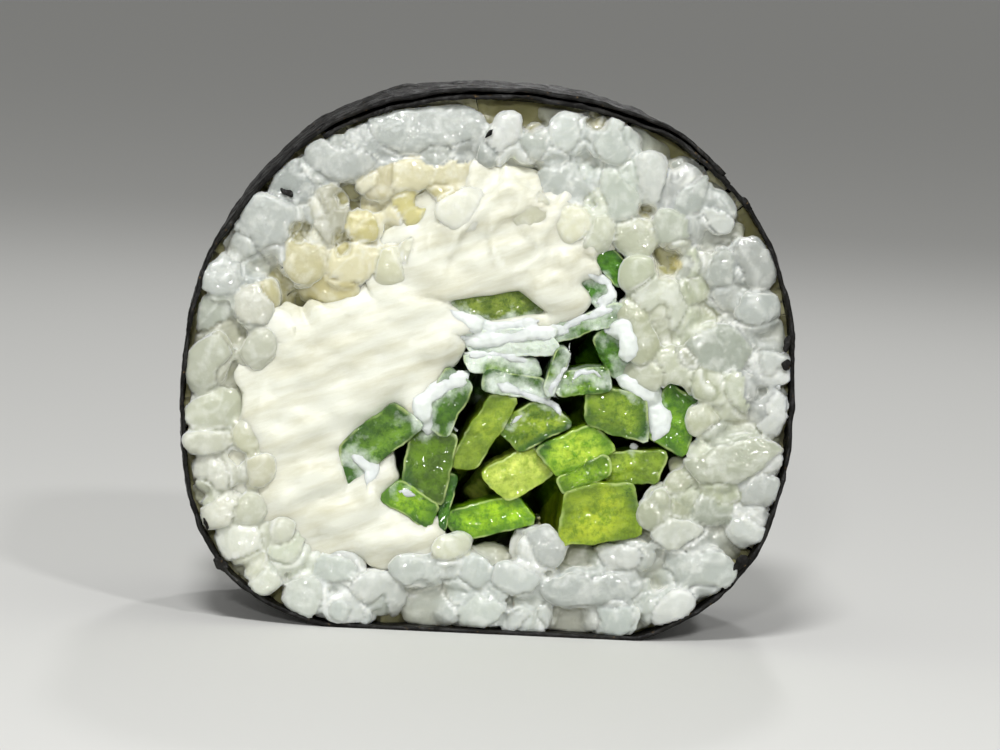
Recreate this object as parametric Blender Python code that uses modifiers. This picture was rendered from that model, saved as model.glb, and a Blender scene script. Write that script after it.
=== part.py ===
"""Futomaki: one slice of a thick sushi roll, standing on its rim with a cut face towards -Y.

A sheet of nori wraps a ring of cooked rice. Inside the ring lie a block of cream cheese and a
bundle of cucumber strips, and both run through the slice from face to face. The roll's axis
is Y. Sizes are in millimetres, and every mesh is scaled to metres when it is finished.
"""
import math

import bmesh
import bpy
from mathutils import Matrix
import numpy as np

MM = 0.001
GAP = 0.3                       # between neighbouring pieces

# The slice
ROLL_WIDTH = 42.0
SLICE_LENGTH = 20.0
WIDEST_HEIGHT = 17.0            # height at which the roll is widest
# Each quarter from the upper right on: its reach from the widest height, and its roundness.
# The lower quarters reach below the ground, where they are cut to the flat base.
QUARTERS = ((20.3, 2.37), (20.3, 2.15), (17.5, 3.0), (18.2, 2.6))

# Nori: a sheet wound once round the rice, its outer end lying over its inner end at the top
NORI_THICK = 0.3
NORI_LENGTH = 19.0
LAYER_GAP = 0.4
FLAP_ANGLE = 42.0               # where the outer end lies, upper right
TUCK_ANGLE = 125.0              # where the inner end lies, upper left
CLIMB = 22.0                    # turn over which the flap climbs onto the layer below
NORI_COLUMNS = 88
NORI_ROWS = 3
NORI_WAVE = 0.08                # height of the waves in the sheet
WAVE_TURNS = (9, 4)             # waves round the roll, one set crossing the other
WAVE_SLANT = (0.5, 0.3)         # how they lean along the roll, radians per mm
WAVE_RISE = (0.5, 4.0)          # heights between which they grow; the base stays flat
NORI_RAGGED = 0.22              # unevenness of the cut edges
RAGGED_TURNS = ((5, 1.0), (13, 0.6))    # its waves round the roll, and their shares
TUCK_DEPTH = 1.3                # how far the tucked end stays behind the cut face

# Filling, as closed outlines in the cut face, from the bottom round by the right
STRIPS_EDGE = ((-2.6, 5.6), (1.4, 6.2), (3.0, 7.4), (4.3, 9.0), (5.3, 7.4), (6.0, 5.8), (8.7, 6.7),
               (11.3, 7.9), (11.4, 10.4), (12.9, 11.5), (13.2, 12.8), (14.9, 14.1), (15.5, 16.8),
               (14.8, 18.1), (12.4, 17.8), (10.9, 18.7), (10.5, 20.2), (9.8, 22.6), (10.0, 24.6),
               (9.5, 26.4), (8.2, 27.8))
CHEESE_EDGE = ((6.4, 29.6), (3.4, 31.0), (1.0, 32.3), (-2.2, 31.0), (-5.0, 29.2), (-7.0, 27.2),
               (-8.2, 23.8), (-11.4, 22.3), (-14.6, 20.6), (-16.6, 17.6), (-17.0, 14.0),
               (-16.4, 10.2), (-14.4, 7.4), (-10.5, 5.9), (-7.0, 4.9))
CHEESE_INNER = ((-2.6, 5.6), (-2.6, 7.2), (-4.0, 9.0), (-6.4, 11.0), (-6.6, 14.0), (-3.6, 15.0),
                (-3.0, 18.0), (-1.6, 20.4), (1.0, 21.2), (5.4, 21.9), (6.6, 23.6), (7.2, 25.6),
                (8.0, 27.4))

# How the whole filling wanders inside the slice, which closes the gaps between the strips to a
# straight look through: y, and the shift there in x and z
WANDER = ((-5.0, 0.0, 0.0), (-2.0, -1.2, -2.1), (2.0, 2.3, -0.8), (5.0, 0.0, 0.0))

# Cucumber strips in the cut face: x, z, length, width, tilt in degrees, taper, skew
STRIPS = (
    (0.4, 22.9, 4.9, 1.7, 10, 0.0, -1.7),
    (1.6, 20.5, 6.4, 1.4, 5, 0.0, -0.9),
    (0.9, 18.9, 4.6, 0.9, -3, 0.0, -0.5),
    (6.4, 22.0, 5.0, 0.9, 20, 0.0, 0.5),
    (8.3, 26.1, 2.4, 1.1, -42, 0.0, 0.3),
    (7.3, 24.3, 2.0, 1.0, -52, 0.0, 0.2),
    (8.7, 20.1, 3.2, 1.5, -60, -0.1, 0.0),
    (6.6, 17.7, 3.3, 1.8, 8, 0.0, -0.4),
    (4.6, 18.6, 3.0, 0.9, 72, 0.0, 0.3),
    (1.9, 17.5, 4.3, 1.1, -8, 0.1, -0.4),
    (0.1, 14.1, 5.4, 1.9, 62, 0.0, -0.9),
    (3.2, 14.8, 3.8, 2.1, 28, 0.0, -0.9),
    (9.0, 16.0, 4.1, 2.5, -16, 0.0, -1.0),
    (13.2, 15.6, 3.6, 2.4, 74, 0.0, 0.5),
    (6.3, 13.2, 4.1, 2.0, 26, 0.0, -0.6),
    (2.4, 11.4, 3.6, 2.2, 33, 0.0, -0.5),
    (10.4, 12.0, 3.6, 1.9, 4, -0.1, 0.3),
    (8.2, 8.9, 4.9, 3.5, 10, 0.1, 0.3),
    (0.4, 8.1, 5.0, 1.9, 17, 0.0, -0.9),
    (7.0, 11.4, 3.4, 1.0, 26, 0.0, 0.0),
    (-2.4, 9.0, 3.6, 0.8, 80, 0.0, 0.0),
    (-3.8, 11.8, 4.4, 3.0, 80, 0.1, 0.3),
    (-7.6, 13.1, 5.6, 2.4, 42, 0.2, 0.4),
    (-2.9, 16.1, 3.8, 1.8, 68, 0.0, 0.4),
    (-4.9, 9.0, 3.2, 1.6, -32, 0.1, 0.0),
)
STRIP_RECESS = (0.3, 1.7)       # how far the cut ends lie behind the cut face
STRIP_SLOPE = 0.14              # steepest slope of a cut end
STRIP_SEED = 5

# Cream cheese
CHEESE_RECESS = 0.5
CHEESE_GRID = 2.2               # spacing of the points that carry the relief
CHEESE_RELIEF = 0.28            # height of the smear streaks
CHEESE_RIM = 0.55               # how far the rim falls behind the middle
STREAK_WIDTH = 3.4
STREAK_ANGLE = 30.0
STREAK_BEND = 0.2               # how much the streaks close up to the right, radians per mm
FLAT_CAP = 0.99                 # least Y of the normal on a flat cut face
STEEP_SIDE = 0.5                # most Y of the normal on a side wall

# Rice
CORE_RECESS = 2.4               # the packed rice between and behind the grains that show
CORE_HOLD = 0.4                 # how far the back of a grain reaches into it at least
CORE_STEPS = 72
BACK_GRAINS = 64
GRAIN_LENGTH = (3.0, 6.2)       # as seen in the face; a leaning grain looks shorter
GRAIN_WIDTH = (2.5, 3.2)
FULL_GRAIN = 6.8                # length of a whole cooked grain
GRAIN_DEPTH = (0.4, 0.85)       # centre behind the face, in half depths; below 1 the knife cut it
GRAIN_SIDES = 6
GRAIN_RINGS = 4
GRAIN_BLUNT = 1.12              # fullness of a grain between its waist and its ends
GRAIN_SWELL = 1.06              # makes up for the flats of so few sides
CUT_SHORT = (0.85, 1.0)         # spread of the whole length
FRONT_SEED, BACK_SEED = 11, 27

# Laying the grains: each is felt as three discs in a row
DISC_RADII = (0.4, 0.5, 0.4)    # of its width
DISC_END = 0.42                 # distance of an end disc's centre from the tip, of its width
GRAIN_PRESS = 0.92              # distance of pressed grains over their free distance
GRAIN_ROOM = 1.2                # least distance of a new grain's centre from the walls
PLACE_TRIES = 400               # random places drawn for a new grain
PLACE_CHOICES = 16              # how many that lie in the ring are compared
SETTLE_STEPS = 220
EASE = 0.2                      # share of a push that a grain follows in one step
TWIST_HOLD = 1.0                # keeps a short grain from spinning
WALL_SPACING = 0.5              # between the points of a wall
WALL_SLACK = 0.24               # room that is left to a wall
WALL_PUSH = 1.5                 # against the push of a grain
SHRINK = (1.0, 0.92, 0.84, 0.76, 0.68, 0.6)     # sizes tried for a grain that stays too near
# Grains of the front face, from the top round by the left: x, z, length, width, turn in degrees
FRONT_GRAINS = (
    (-0.2, 34.3, 4.2, 2.4, 52), (-6.3, 34.7, 8.6, 3.0, 6), (-6.4, 31.7, 8.4, 2.9, -5),
    (-11.2, 33.2, 5.0, 3.0, -14), (-13.9, 31.2, 3.6, 2.9, 62), (-16.3, 27.9, 5.7, 3.4, 44),
    (-11.8, 28.9, 4.6, 2.7, -72), (-9.2, 28.2, 3.0, 2.4, 5), (-6.4, 28.8, 3.7, 3.0, 4),
    (-13.1, 25.5, 4.0, 3.4, -60), (-9.8, 25.6, 3.9, 3.0, 30), (-18.5, 24.0, 3.4, 2.4, 60),
    (-16.7, 22.6, 3.8, 2.9, 58), (-18.9, 21.4, 3.3, 2.4, 70), (-19.3, 18.0, 4.6, 2.3, 82),
    (-19.0, 15.0, 3.8, 2.8, 40), (-19.1, 12.6, 3.0, 2.3, -30), (-18.6, 10.6, 3.0, 2.4, -15),
    (-17.9, 8.0, 2.8, 2.4, 60), (-16.8, 5.6, 3.2, 2.8, 20), (-13.6, 5.2, 3.0, 2.6, 60),
    (-14.9, 3.4, 2.6, 2.2, -40), (-12.1, 2.2, 3.0, 2.6, 3), (-10.4, 4.0, 4.0, 2.3, 3),
    (-8.7, 1.7, 3.4, 1.9, 3), (-6.8, 2.7, 4.6, 2.6, 3), (-4.2, 3.9, 4.2, 2.4, 3),
    (-1.1, 4.1, 3.5, 2.5, 18), (-0.5, 1.7, 5.8, 2.2, 0), (2.8, 3.9, 4.0, 2.5, -6),
    (3.8, 1.9, 4.2, 1.9, 18), (4.2, 6.2, 3.4, 3.0, 5), (8.0, 3.6, 7.6, 2.7, 17),
    (8.9, 1.8, 4.4, 2.2, 8), (9.8, 5.0, 4.4, 2.2, 22), (13.3, 2.5, 4.0, 2.1, 28),
    (14.7, 5.4, 5.4, 3.2, 5), (13.9, 7.7, 4.0, 2.4, -8), (18.4, 8.3, 2.8, 2.3, 50),
    (16.2, 9.5, 3.6, 2.8, -10), (13.9, 10.9, 3.9, 2.3, -80), (19.0, 11.2, 3.2, 2.4, 65),
    (16.8, 12.9, 6.6, 3.3, 24), (19.4, 15.6, 4.0, 2.1, 73), (17.5, 17.2, 4.2, 2.6, -72),
    (19.3, 19.9, 3.4, 2.3, -57), (13.4, 19.2, 4.2, 2.9, -20), (16.0, 20.8, 4.9, 3.3, 5),
    (12.6, 23.7, 5.3, 3.8, -28), (17.9, 23.6, 3.4, 3.0, 3), (15.3, 25.0, 5.8, 2.9, 62),
    (13.6, 26.9, 3.2, 2.6, -20), (17.6, 26.7, 3.8, 2.4, -50), (9.8, 28.7, 3.2, 2.7, 0),
    (12.7, 29.0, 4.3, 2.7, -7), (15.0, 30.0, 3.0, 2.0, -57), (13.0, 31.6, 3.8, 2.5, -72),
    (10.5, 32.2, 4.4, 2.7, -66), (8.1, 31.4, 4.2, 2.8, -57), (7.8, 34.2, 3.8, 2.7, -48),
    (4.9, 32.0, 4.2, 2.9, -17), (4.5, 35.0, 3.6, 2.6, 12), (2.4, 34.4, 2.8, 2.2, 30),
)

COLOURS = {
    "nori": ("1D1C15", 0.35),
    "rice": ("DDE0D6", 0.32),
    "cream_cheese": ("EFF0E2", 0.5),
    "cucumber": ("93B53A", 0.4),
}


def linear(channel):
    """One sRGB channel, 0 to 1, as linear light."""
    if channel <= 0.04045:
        return channel / 12.92
    return ((channel + 0.055) / 1.055) ** 2.4


def make_material(name, hex_colour, roughness):
    material = bpy.data.materials.new(name)
    material.use_nodes = True
    shader = material.node_tree.nodes["Principled BSDF"]
    rgb = [linear(int(hex_colour[k:k + 2], 16) / 255) for k in (0, 2, 4)]
    shader.inputs["Base Color"].default_value = (*rgb, 1.0)
    shader.inputs["Roughness"].default_value = roughness
    shader.inputs["Metallic"].default_value = 0.0
    return material


def smooth_step(value, start, end):
    """0 before start, 1 after end, and a smooth rise between them."""
    t = np.clip((value - start) / (end - start), 0.0, 1.0)
    return t * t * (3 - 2 * t)


# Outlines in the plane of the cut face, as arrays of (x, z) that run anticlockwise

def rim(angles):
    """Points of the roll's outer outline, where each quarter is part of a superellipse."""
    quarter = (np.floor(angles / 90) % 4).astype(int)
    reach, roundness = np.array(QUARTERS)[quarter].T
    cos, sin = np.cos(np.radians(angles)), np.sin(np.radians(angles))
    x = ROLL_WIDTH / 2 * np.sign(cos) * np.abs(cos) ** (2 / roundness)
    z = WIDEST_HEIGHT + reach * np.sign(sin) * np.abs(sin) ** (2 / roundness)
    return np.column_stack((x, np.maximum(z, 0.0)))


def inset_rim(angles, inset):
    """Points of the outline moved inwards, square to it."""
    along = rim(angles + 0.5) - rim(angles - 0.5)
    along /= np.linalg.norm(along, axis=1)[:, None]
    inward = np.column_stack((-along[:, 1], along[:, 0]))
    return rim(angles) + inward * np.reshape(inset, (-1, 1))


def layer_inset(angles):
    """The nori's outer skin against the outline along its winding: the flap lies outside."""
    on_flap = 1 - smooth_step(angles, TUCK_ANGLE, TUCK_ANGLE + CLIMB)
    return -(NORI_THICK + LAYER_GAP) * on_flap


def rice_rim(steps):
    """The rice's outer outline, just inside the nori."""
    angles = np.arange(steps) * 360 / steps
    return inset_rim(angles, NORI_THICK + NORI_WAVE + GAP)


def clip(loop, point, normal):
    """The part of a convex outline that lies behind a line, with normal pointing ahead."""
    kept = []
    ahead = (loop - point) @ normal
    for k in range(len(loop)):
        here, there = ahead[k - 1], ahead[k]
        if here * there < 0:
            kept.append(loop[k - 1] + (loop[k] - loop[k - 1]) * here / (here - there))
        if there <= 0:
            kept.append(loop[k])
    return np.array(kept)


def edge_normals(loop):
    along = np.roll(loop, -1, axis=0) - loop
    along /= np.linalg.norm(along, axis=1)[:, None]
    return np.column_stack((along[:, 1], -along[:, 0]))


def grow(loop, distance):
    """A convex outline with each edge moved outwards."""
    normals = edge_normals(loop)
    corners = []
    for k in range(len(loop)):
        pair = np.array((normals[k - 1], normals[k]))
        corners.append(np.linalg.solve(pair, pair @ loop[k] + distance))
    return np.array(corners)


def trim_pair(first, second, gap):
    """Trim two convex outlines along the line that best parts them, to leave a gap."""
    best = None
    for normal in np.vstack((edge_normals(first), -edge_normals(second))):
        front, back = (first @ normal).max(), (second @ normal).min()
        if best is None or back - front > best[0]:
            best = (back - front, (front + back) / 2, normal)
    room, middle, normal = best
    if room >= gap:
        return first, second
    return (clip(first, normal * (middle - gap / 2), normal),
            clip(second, normal * (middle + gap / 2), -normal))


def strip_outlines():
    """Each strip's section: a slanted quadrilateral, trimmed where it meets a neighbour."""
    outlines = []
    for x, z, length, width, tilt, taper, skew in STRIPS:
        corners = []
        for side, ends in ((-1, (-1, 1)), (1, (1, -1))):
            for end in ends:
                half = length / 2 * (1 - side * taper)
                corners.append((end * half + side * skew / 2, side * width / 2))
        c, s = math.cos(math.radians(tilt)), math.sin(math.radians(tilt))
        outlines.append(np.array(corners) @ np.array(((c, s), (-s, c))) + (x, z))
    for i in range(len(outlines)):
        for j in range(i):
            outlines[i], outlines[j] = trim_pair(outlines[i], outlines[j], GAP)
    return outlines


# Laying the rice

def resample(loop, spacing):
    """Points along a closed outline at an even spacing."""
    closed = np.vstack((loop, loop[:1]))
    length = np.concatenate(((0,), np.cumsum(np.linalg.norm(np.diff(closed, axis=0), axis=1))))
    where = np.arange(0, length[-1], spacing)
    return np.column_stack([np.interp(where, length, closed[:, k]) for k in (0, 1)])


def depth_inside(points, loop):
    """Distance inside an outline, less than 0 outside, and the way to the inside."""
    inward = -edge_normals(loop)
    middle = (loop + np.roll(loop, -1, axis=0)) / 2
    offset = points[:, None] - middle[None]
    near = np.argmin((offset ** 2).sum(axis=2), axis=1)
    rows = np.arange(len(points))
    return (offset[rows, near] * inward[near]).sum(axis=1), inward[near]


def lay_grains(seed, grains, count):
    """Place grains in the ring of a cut face: rows of x, z, length, width, turn.

    The given grains are made up to the count, each new one at the emptiest of a few random
    places. Then all push each other apart, with every grain felt as three discs in a row.
    """
    rng = np.random.default_rng(seed)
    outer = resample(rice_rim(CORE_STEPS * 2), WALL_SPACING)
    filling = resample(np.array(STRIPS_EDGE + CHEESE_EDGE), WALL_SPACING)
    grains = [list(grain) for grain in grains]
    while len(grains) < count:
        tries = rng.uniform((-ROLL_WIDTH / 2, 0), (ROLL_WIDTH / 2, ROLL_WIDTH), (PLACE_TRIES, 2))
        in_ring = depth_inside(tries, outer)[0] > GRAIN_ROOM
        in_ring &= depth_inside(tries, filling)[0] < -GRAIN_ROOM
        tries = tries[in_ring][:PLACE_CHOICES]
        if grains:
            placed = np.array(grains)[:, :2]
            room = np.linalg.norm(tries[:, None] - placed[None], axis=2).min(axis=1)
        else:
            room = np.zeros(len(tries))
        x, z = tries[np.argmax(room)]
        grains.append([x, z, rng.uniform(*GRAIN_LENGTH), rng.uniform(*GRAIN_WIDTH),
                       rng.uniform(-90, 90)])
    x, z, length, width, turn = np.array(grains).T
    centre, turn = np.column_stack((x, z)), np.radians(turn)
    reach = np.outer(length / 2 - DISC_END * width, (-1, 0, 1))
    radius = np.outer(width, DISC_RADII).ravel()
    owner = np.repeat(np.arange(count), 3)
    other = owner[:, None] != owner[None]
    for _ in range(SETTLE_STEPS):
        axis = np.column_stack((np.cos(turn), np.sin(turn)))
        arm = reach[:, :, None] * axis[:, None]
        discs = (centre[:, None] + arm).reshape(-1, 2)
        apart = discs[:, None] - discs[None]
        distance = np.linalg.norm(apart, axis=2) + 1e-6
        overlap = GRAIN_PRESS * (radius[:, None] + radius[None]) - distance
        push = np.where(other & (overlap > 0), overlap / distance, 0)[:, :, None] * apart
        push = push.sum(axis=1) / 2
        for loop, side in ((outer, 1), (filling, -1)):
            depth, inward = depth_inside(discs, loop)
            short = np.clip(radius + WALL_SLACK - side * depth, 0, None)
            push += WALL_PUSH * side * short[:, None] * inward
        push = push.reshape(-1, 3, 2)
        twist = (arm[:, :, 0] * push[:, :, 1] - arm[:, :, 1] * push[:, :, 0]).sum(axis=1)
        centre += EASE * push.sum(axis=1) / 2
        turn += EASE * twist / (2 * reach[:, 2] ** 2 + TWIST_HOLD)
    return fit_grains(centre, length, width, turn, (outer, filling))


def fit_grains(centre, length, width, turn, walls):
    """Shrink grains that still reach past a wall, and leave out those with too little room."""
    fitted = []
    outer, filling = walls
    around = np.radians(np.arange(0, 360, 15))
    for k in range(len(centre)):
        c, s = math.cos(turn[k]), math.sin(turn[k])
        for size in SHRINK:
            a, b = np.cos(around) * length[k] * size / 2, np.sin(around) * width[k] * size / 2
            edge = centre[k] + np.column_stack((a * c - b * s, a * s + b * c))
            room = min(depth_inside(edge, outer)[0].min(), -depth_inside(edge, filling)[0].max())
            if room > WALL_SLACK / 2:
                fitted.append((*centre[k], length[k] * size, width[k] * size, turn[k]))
                break
    return fitted


# Meshes and objects

def to_object(bm, name, material, collection):
    """Make an object from a bmesh in millimetres, in metres."""
    bmesh.ops.scale(bm, vec=(MM, MM, MM), verts=bm.verts)
    mesh = bpy.data.meshes.new(name)
    bm.to_mesh(mesh)
    bm.free()
    obj = bpy.data.objects.new(name, mesh)
    collection.objects.link(obj)
    if material:
        mesh.materials.append(material)
    return obj


def prism(loop, half_length, wander=False):
    """A bmesh of a flat outline pulled along Y, bent inside the slice where it wanders."""
    curve = bpy.data.curves.new("outline", "CURVE")
    curve.dimensions = "2D"
    curve.fill_mode = "BOTH"
    curve.extrude = half_length
    spline = curve.splines.new("POLY")
    spline.points.add(len(loop) - 1)
    for point, (x, z) in zip(spline.points, loop):
        point.co = (x, z, 0, 1)
    spline.use_cyclic_u = True
    obj = bpy.data.objects.new("outline", curve)
    bpy.context.scene.collection.objects.link(obj)
    evaluated = obj.evaluated_get(bpy.context.evaluated_depsgraph_get())
    mesh = bpy.data.meshes.new_from_object(evaluated)
    bm = bmesh.new()
    bm.from_mesh(mesh)
    bpy.data.objects.remove(obj)
    bpy.data.curves.remove(curve)
    bpy.data.meshes.remove(mesh)
    bmesh.ops.remove_doubles(bm, verts=bm.verts, dist=0.001)
    bmesh.ops.rotate(bm, matrix=Matrix.Rotation(math.pi / 2, 3, "X"), verts=bm.verts)
    bmesh.ops.recalc_face_normals(bm, faces=bm.faces)
    if wander:
        stations, shift_x, shift_z = zip(*WANDER)
        for y in stations:
            geometry = bm.verts[:] + bm.edges[:] + bm.faces[:]
            bmesh.ops.bisect_plane(bm, geom=geometry, plane_co=(0, y, 0), plane_no=(0, 1, 0))
        for vert in bm.verts:
            vert.co.x += np.interp(vert.co.y, stations, shift_x)
            vert.co.z += np.interp(vert.co.y, stations, shift_z)
    return bm


def apply_boolean(obj, operation, others, solver):
    """Join obj with, or cut it by, every object of a collection, which is then removed."""
    modifier = obj.modifiers.new("boolean", "BOOLEAN")
    modifier.operation = operation
    modifier.operand_type = "COLLECTION"
    modifier.collection = others
    modifier.solver = solver
    evaluated = obj.evaluated_get(bpy.context.evaluated_depsgraph_get())
    mesh = bpy.data.meshes.new_from_object(evaluated)
    obj.modifiers.clear()
    obj.data = mesh
    for other in list(others.objects):
        bpy.data.objects.remove(other)
    bpy.data.collections.remove(others)


def keep_main_shell(mesh):
    """Drop loose scraps and the walls of sealed hollows, and keep the largest shell."""
    bm = bmesh.new()
    bm.from_mesh(mesh)
    bm.faces.ensure_lookup_table()
    shells, seen = [], set()
    for start in bm.faces:
        if start in seen:
            continue
        seen.add(start)
        shell, queue = [], [start]
        while queue:
            face = queue.pop()
            shell.append(face)
            for edge in face.edges:
                if len(edge.link_faces) > 2:
                    continue
                for neighbour in edge.link_faces:
                    if neighbour not in seen:
                        seen.add(neighbour)
                        queue.append(neighbour)
        shells.append(shell)
    shells.sort(key=len, reverse=True)
    scraps = [face for shell in shells[1:] for face in shell]
    bmesh.ops.delete(bm, geom=scraps, context="FACES")
    bm.to_mesh(mesh)
    bm.free()
    return len(shells) - 1


def make_nori(material, collection):
    """A grid bent along the winding and thickened inwards."""
    bm = bmesh.new()
    bmesh.ops.create_grid(bm, x_segments=NORI_COLUMNS, y_segments=NORI_ROWS, size=1.0)
    last_angle = 360 + TUCK_ANGLE
    for vert in bm.verts:
        angle = FLAP_ANGLE + (last_angle - FLAP_ANGLE) * (vert.co.x + 1) / 2
        swing = math.radians(angle)
        tucked = smooth_step(angle, 360 + FLAP_ANGLE, last_angle)
        ragged = sum(share * math.sin(turns * swing) for turns, share in RAGGED_TURNS)
        y = vert.co.y * (NORI_LENGTH / 2 + NORI_RAGGED * ragged - TUCK_DEPTH * tucked)
        wave = math.sin(WAVE_TURNS[0] * swing + WAVE_SLANT[0] * y)
        wave *= math.cos(WAVE_TURNS[1] * swing - WAVE_SLANT[1] * y)
        height = rim(np.array((angle,)))[0, 1]
        wave *= NORI_WAVE * smooth_step(height, *WAVE_RISE)
        x, z = inset_rim(np.array((angle,)), layer_inset(angle) + wave)[0]
        vert.co = (x, y, z)
    bmesh.ops.reverse_faces(bm, faces=bm.faces)
    nori = to_object(bm, "nori", material, collection)
    sheet = nori.modifiers.new("thickness", "SOLIDIFY")
    sheet.thickness = NORI_THICK * MM
    sheet.offset = -1
    sheet.use_even_offset = True
    return nori


def make_strips(material, collection, outlines):
    """One prism for each strip, its cut ends a little sloped and behind the cut faces."""
    rng = np.random.default_rng(STRIP_SEED)
    for number, outline in enumerate(outlines, 1):
        bm = prism(outline, SLICE_LENGTH / 2, wander=True)
        middle = outline.mean(axis=0)
        for side in (-1, 1):
            recess = rng.uniform(*STRIP_RECESS)
            slope_x, slope_z = rng.uniform(-STRIP_SLOPE, STRIP_SLOPE, 2)
            for vert in bm.verts:
                if side * vert.co.y > WANDER[-1][0] + GAP:
                    slope = slope_x * (vert.co.x - middle[0]) + slope_z * (vert.co.z - middle[1])
                    vert.co.y = side * (SLICE_LENGTH / 2 - recess) + slope
        to_object(bm, f"cucumber_strip_{number:02d}", material, collection)


def make_cheese(material, collection, outlines):
    """The block of cheese, pressed round the strips, with smear relief on both cut faces."""
    half = SLICE_LENGTH / 2 - CHEESE_RECESS
    block = prism(CHEESE_EDGE + CHEESE_INNER, half, wander=True)
    cheese = to_object(block, "cream_cheese", material, collection)
    moulds = bpy.data.collections.new("strip_moulds")
    bpy.context.scene.collection.children.link(moulds)
    for outline in outlines:
        to_object(prism(grow(outline, GAP), SLICE_LENGTH, wander=True), "mould", None, moulds)
    apply_boolean(cheese, "DIFFERENCE", moulds, "EXACT")
    keep_main_shell(cheese.data)
    bm = bmesh.new()
    bm.from_mesh(cheese.data)
    spacing = CHEESE_GRID * MM
    for normal, span in (((1, 0, 0), ROLL_WIDTH / 2 * MM), ((0, 0, 1), ROLL_WIDTH * MM)):
        for where in np.arange(-span, span, spacing):
            caps = [face for face in bm.faces if abs(face.normal.y) > FLAT_CAP]
            borders = {edge for face in caps for edge in face.edges}
            corners = {vert for face in caps for vert in face.verts}
            bmesh.ops.bisect_plane(bm, geom=[*corners, *borders, *caps], dist=1e-7,
                                   plane_no=normal, plane_co=[where * part for part in normal])
    bmesh.ops.triangulate(bm, faces=bm.faces)
    across = (math.sin(math.radians(STREAK_ANGLE)), -math.cos(math.radians(STREAK_ANGLE)))
    for vert in bm.verts:
        side = 1 if vert.co.y > 0 else -1
        if side * vert.co.y < (half - GAP) * MM:
            continue
        x, z = vert.co.x / MM, vert.co.z / MM
        on_rim = any(abs(face.normal.y) < STEEP_SIDE for face in vert.link_faces)
        along = (x * across[0] + z * across[1]) / STREAK_WIDTH
        streak = math.sin(2 * math.pi * along + STREAK_BEND * x)
        lift = -CHEESE_RIM if on_rim else CHEESE_RELIEF * streak
        vert.co.y += side * lift * MM
    bm.to_mesh(cheese.data)
    bm.free()


def make_rice(material, collection):
    """A recessed ring of packed rice with the grains of both cut faces fused on.

    Hundreds of crossing facets make the EXACT solver leave open edges here, so both the hole
    and the grains are made by MANIFOLD, which also needs the ring to be its own work.
    """
    core = prism(rice_rim(CORE_STEPS), SLICE_LENGTH / 2 - CORE_RECESS)
    rice = to_object(core, "rice", material, collection)
    edge = np.array(STRIPS_EDGE + CHEESE_EDGE)
    hole = edge + GAP * edge_normals(edge)
    space = bpy.data.collections.new("filling_space")
    bpy.context.scene.collection.children.link(space)
    to_object(prism(hole, SLICE_LENGTH, wander=True), "filling_space", None, space)
    apply_boolean(rice, "DIFFERENCE", space, "MANIFOLD")
    grains = bpy.data.collections.new("rice_grains")
    bpy.context.scene.collection.children.link(grains)
    for side, seed, given, count in ((-1, FRONT_SEED, FRONT_GRAINS, len(FRONT_GRAINS)),
                                     (1, BACK_SEED, (), BACK_GRAINS)):
        rng = np.random.default_rng(seed)
        for x, z, length, width, turn in lay_grains(seed, given, count):
            full = max(length, FULL_GRAIN * rng.uniform(*CUT_SHORT))
            seen = max(length ** 2 - width ** 2, 0.0) / (full ** 2 - width ** 2)
            lean = rng.choice((-1, 1)) * math.acos(math.sqrt(min(seen, 1.0)))
            depth = math.hypot(full * math.sin(lean), width * math.cos(lean)) / 2
            behind = max(depth * rng.uniform(*GRAIN_DEPTH), CORE_RECESS + CORE_HOLD - depth)
            y = side * (SLICE_LENGTH / 2 - behind)
            place = (Matrix.Translation((x, y, z)) @ Matrix.Rotation(-turn, 4, "Y")
                     @ Matrix.Rotation(lean, 4, "Z") @ Matrix.Rotation(math.pi / 2, 4, "Y"))
            bm = bmesh.new()
            bmesh.ops.create_uvsphere(bm, u_segments=GRAIN_SIDES, v_segments=GRAIN_RINGS,
                                      radius=0.5)
            for vert in bm.verts:
                along = 2 * abs(vert.co.z)
                across = width * GRAIN_SWELL * (1 + 4 * (GRAIN_BLUNT - 1) * along * (1 - along))
                vert.co = (vert.co.x * across, vert.co.y * across, vert.co.z * full)
            bmesh.ops.transform(bm, matrix=place, verts=bm.verts)
            for vert in bm.verts:
                vert.co.y = side * min(side * vert.co.y, SLICE_LENGTH / 2)
            to_object(bm, "grain", None, grains)
    apply_boolean(rice, "UNION", grains, "MANIFOLD")
    dropped = keep_main_shell(rice.data)
    print("rice:", len(rice.data.polygons), "faces;", dropped, "loose shells dropped")


def stand_on_origin(collection):
    """Move everything so that the origin is below the middle of the whole, on the ground."""
    bpy.context.view_layer.update()
    depsgraph = bpy.context.evaluated_depsgraph_get()
    corners = []
    for obj in collection.objects:
        corners += [tuple(corner) for corner in obj.evaluated_get(depsgraph).bound_box]
    corners = np.array(corners)
    low, high = corners.min(axis=0), corners.max(axis=0)
    middle = (low + high) / 2
    for obj in collection.objects:
        obj.location = (-middle[0], -middle[1], -low[2])


def main():
    for obj in list(bpy.data.objects):
        bpy.data.objects.remove(obj)
    futomaki = bpy.data.collections.new("futomaki")
    bpy.context.scene.collection.children.link(futomaki)
    materials = {name: make_material(name, *look) for name, look in COLOURS.items()}
    outlines = strip_outlines()
    make_nori(materials["nori"], futomaki)
    make_strips(materials["cucumber"], futomaki, outlines)
    make_cheese(materials["cream_cheese"], futomaki, outlines)
    make_rice(materials["rice"], futomaki)
    stand_on_origin(futomaki)


main()
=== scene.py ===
# %% [markdown]
# # A slice of futomaki
# A futomaki is a thick sushi roll: a sheet of nori round a ring of cooked rice, with a filling in
# the middle. This slice stands on its rim and shows a filling of cream cheese and cucumber strips.
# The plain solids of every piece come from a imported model, called the frame. This notebook gives
# each of them the surface of the real food, without moving or resizing it.

# %% Load the frame
import math

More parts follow.
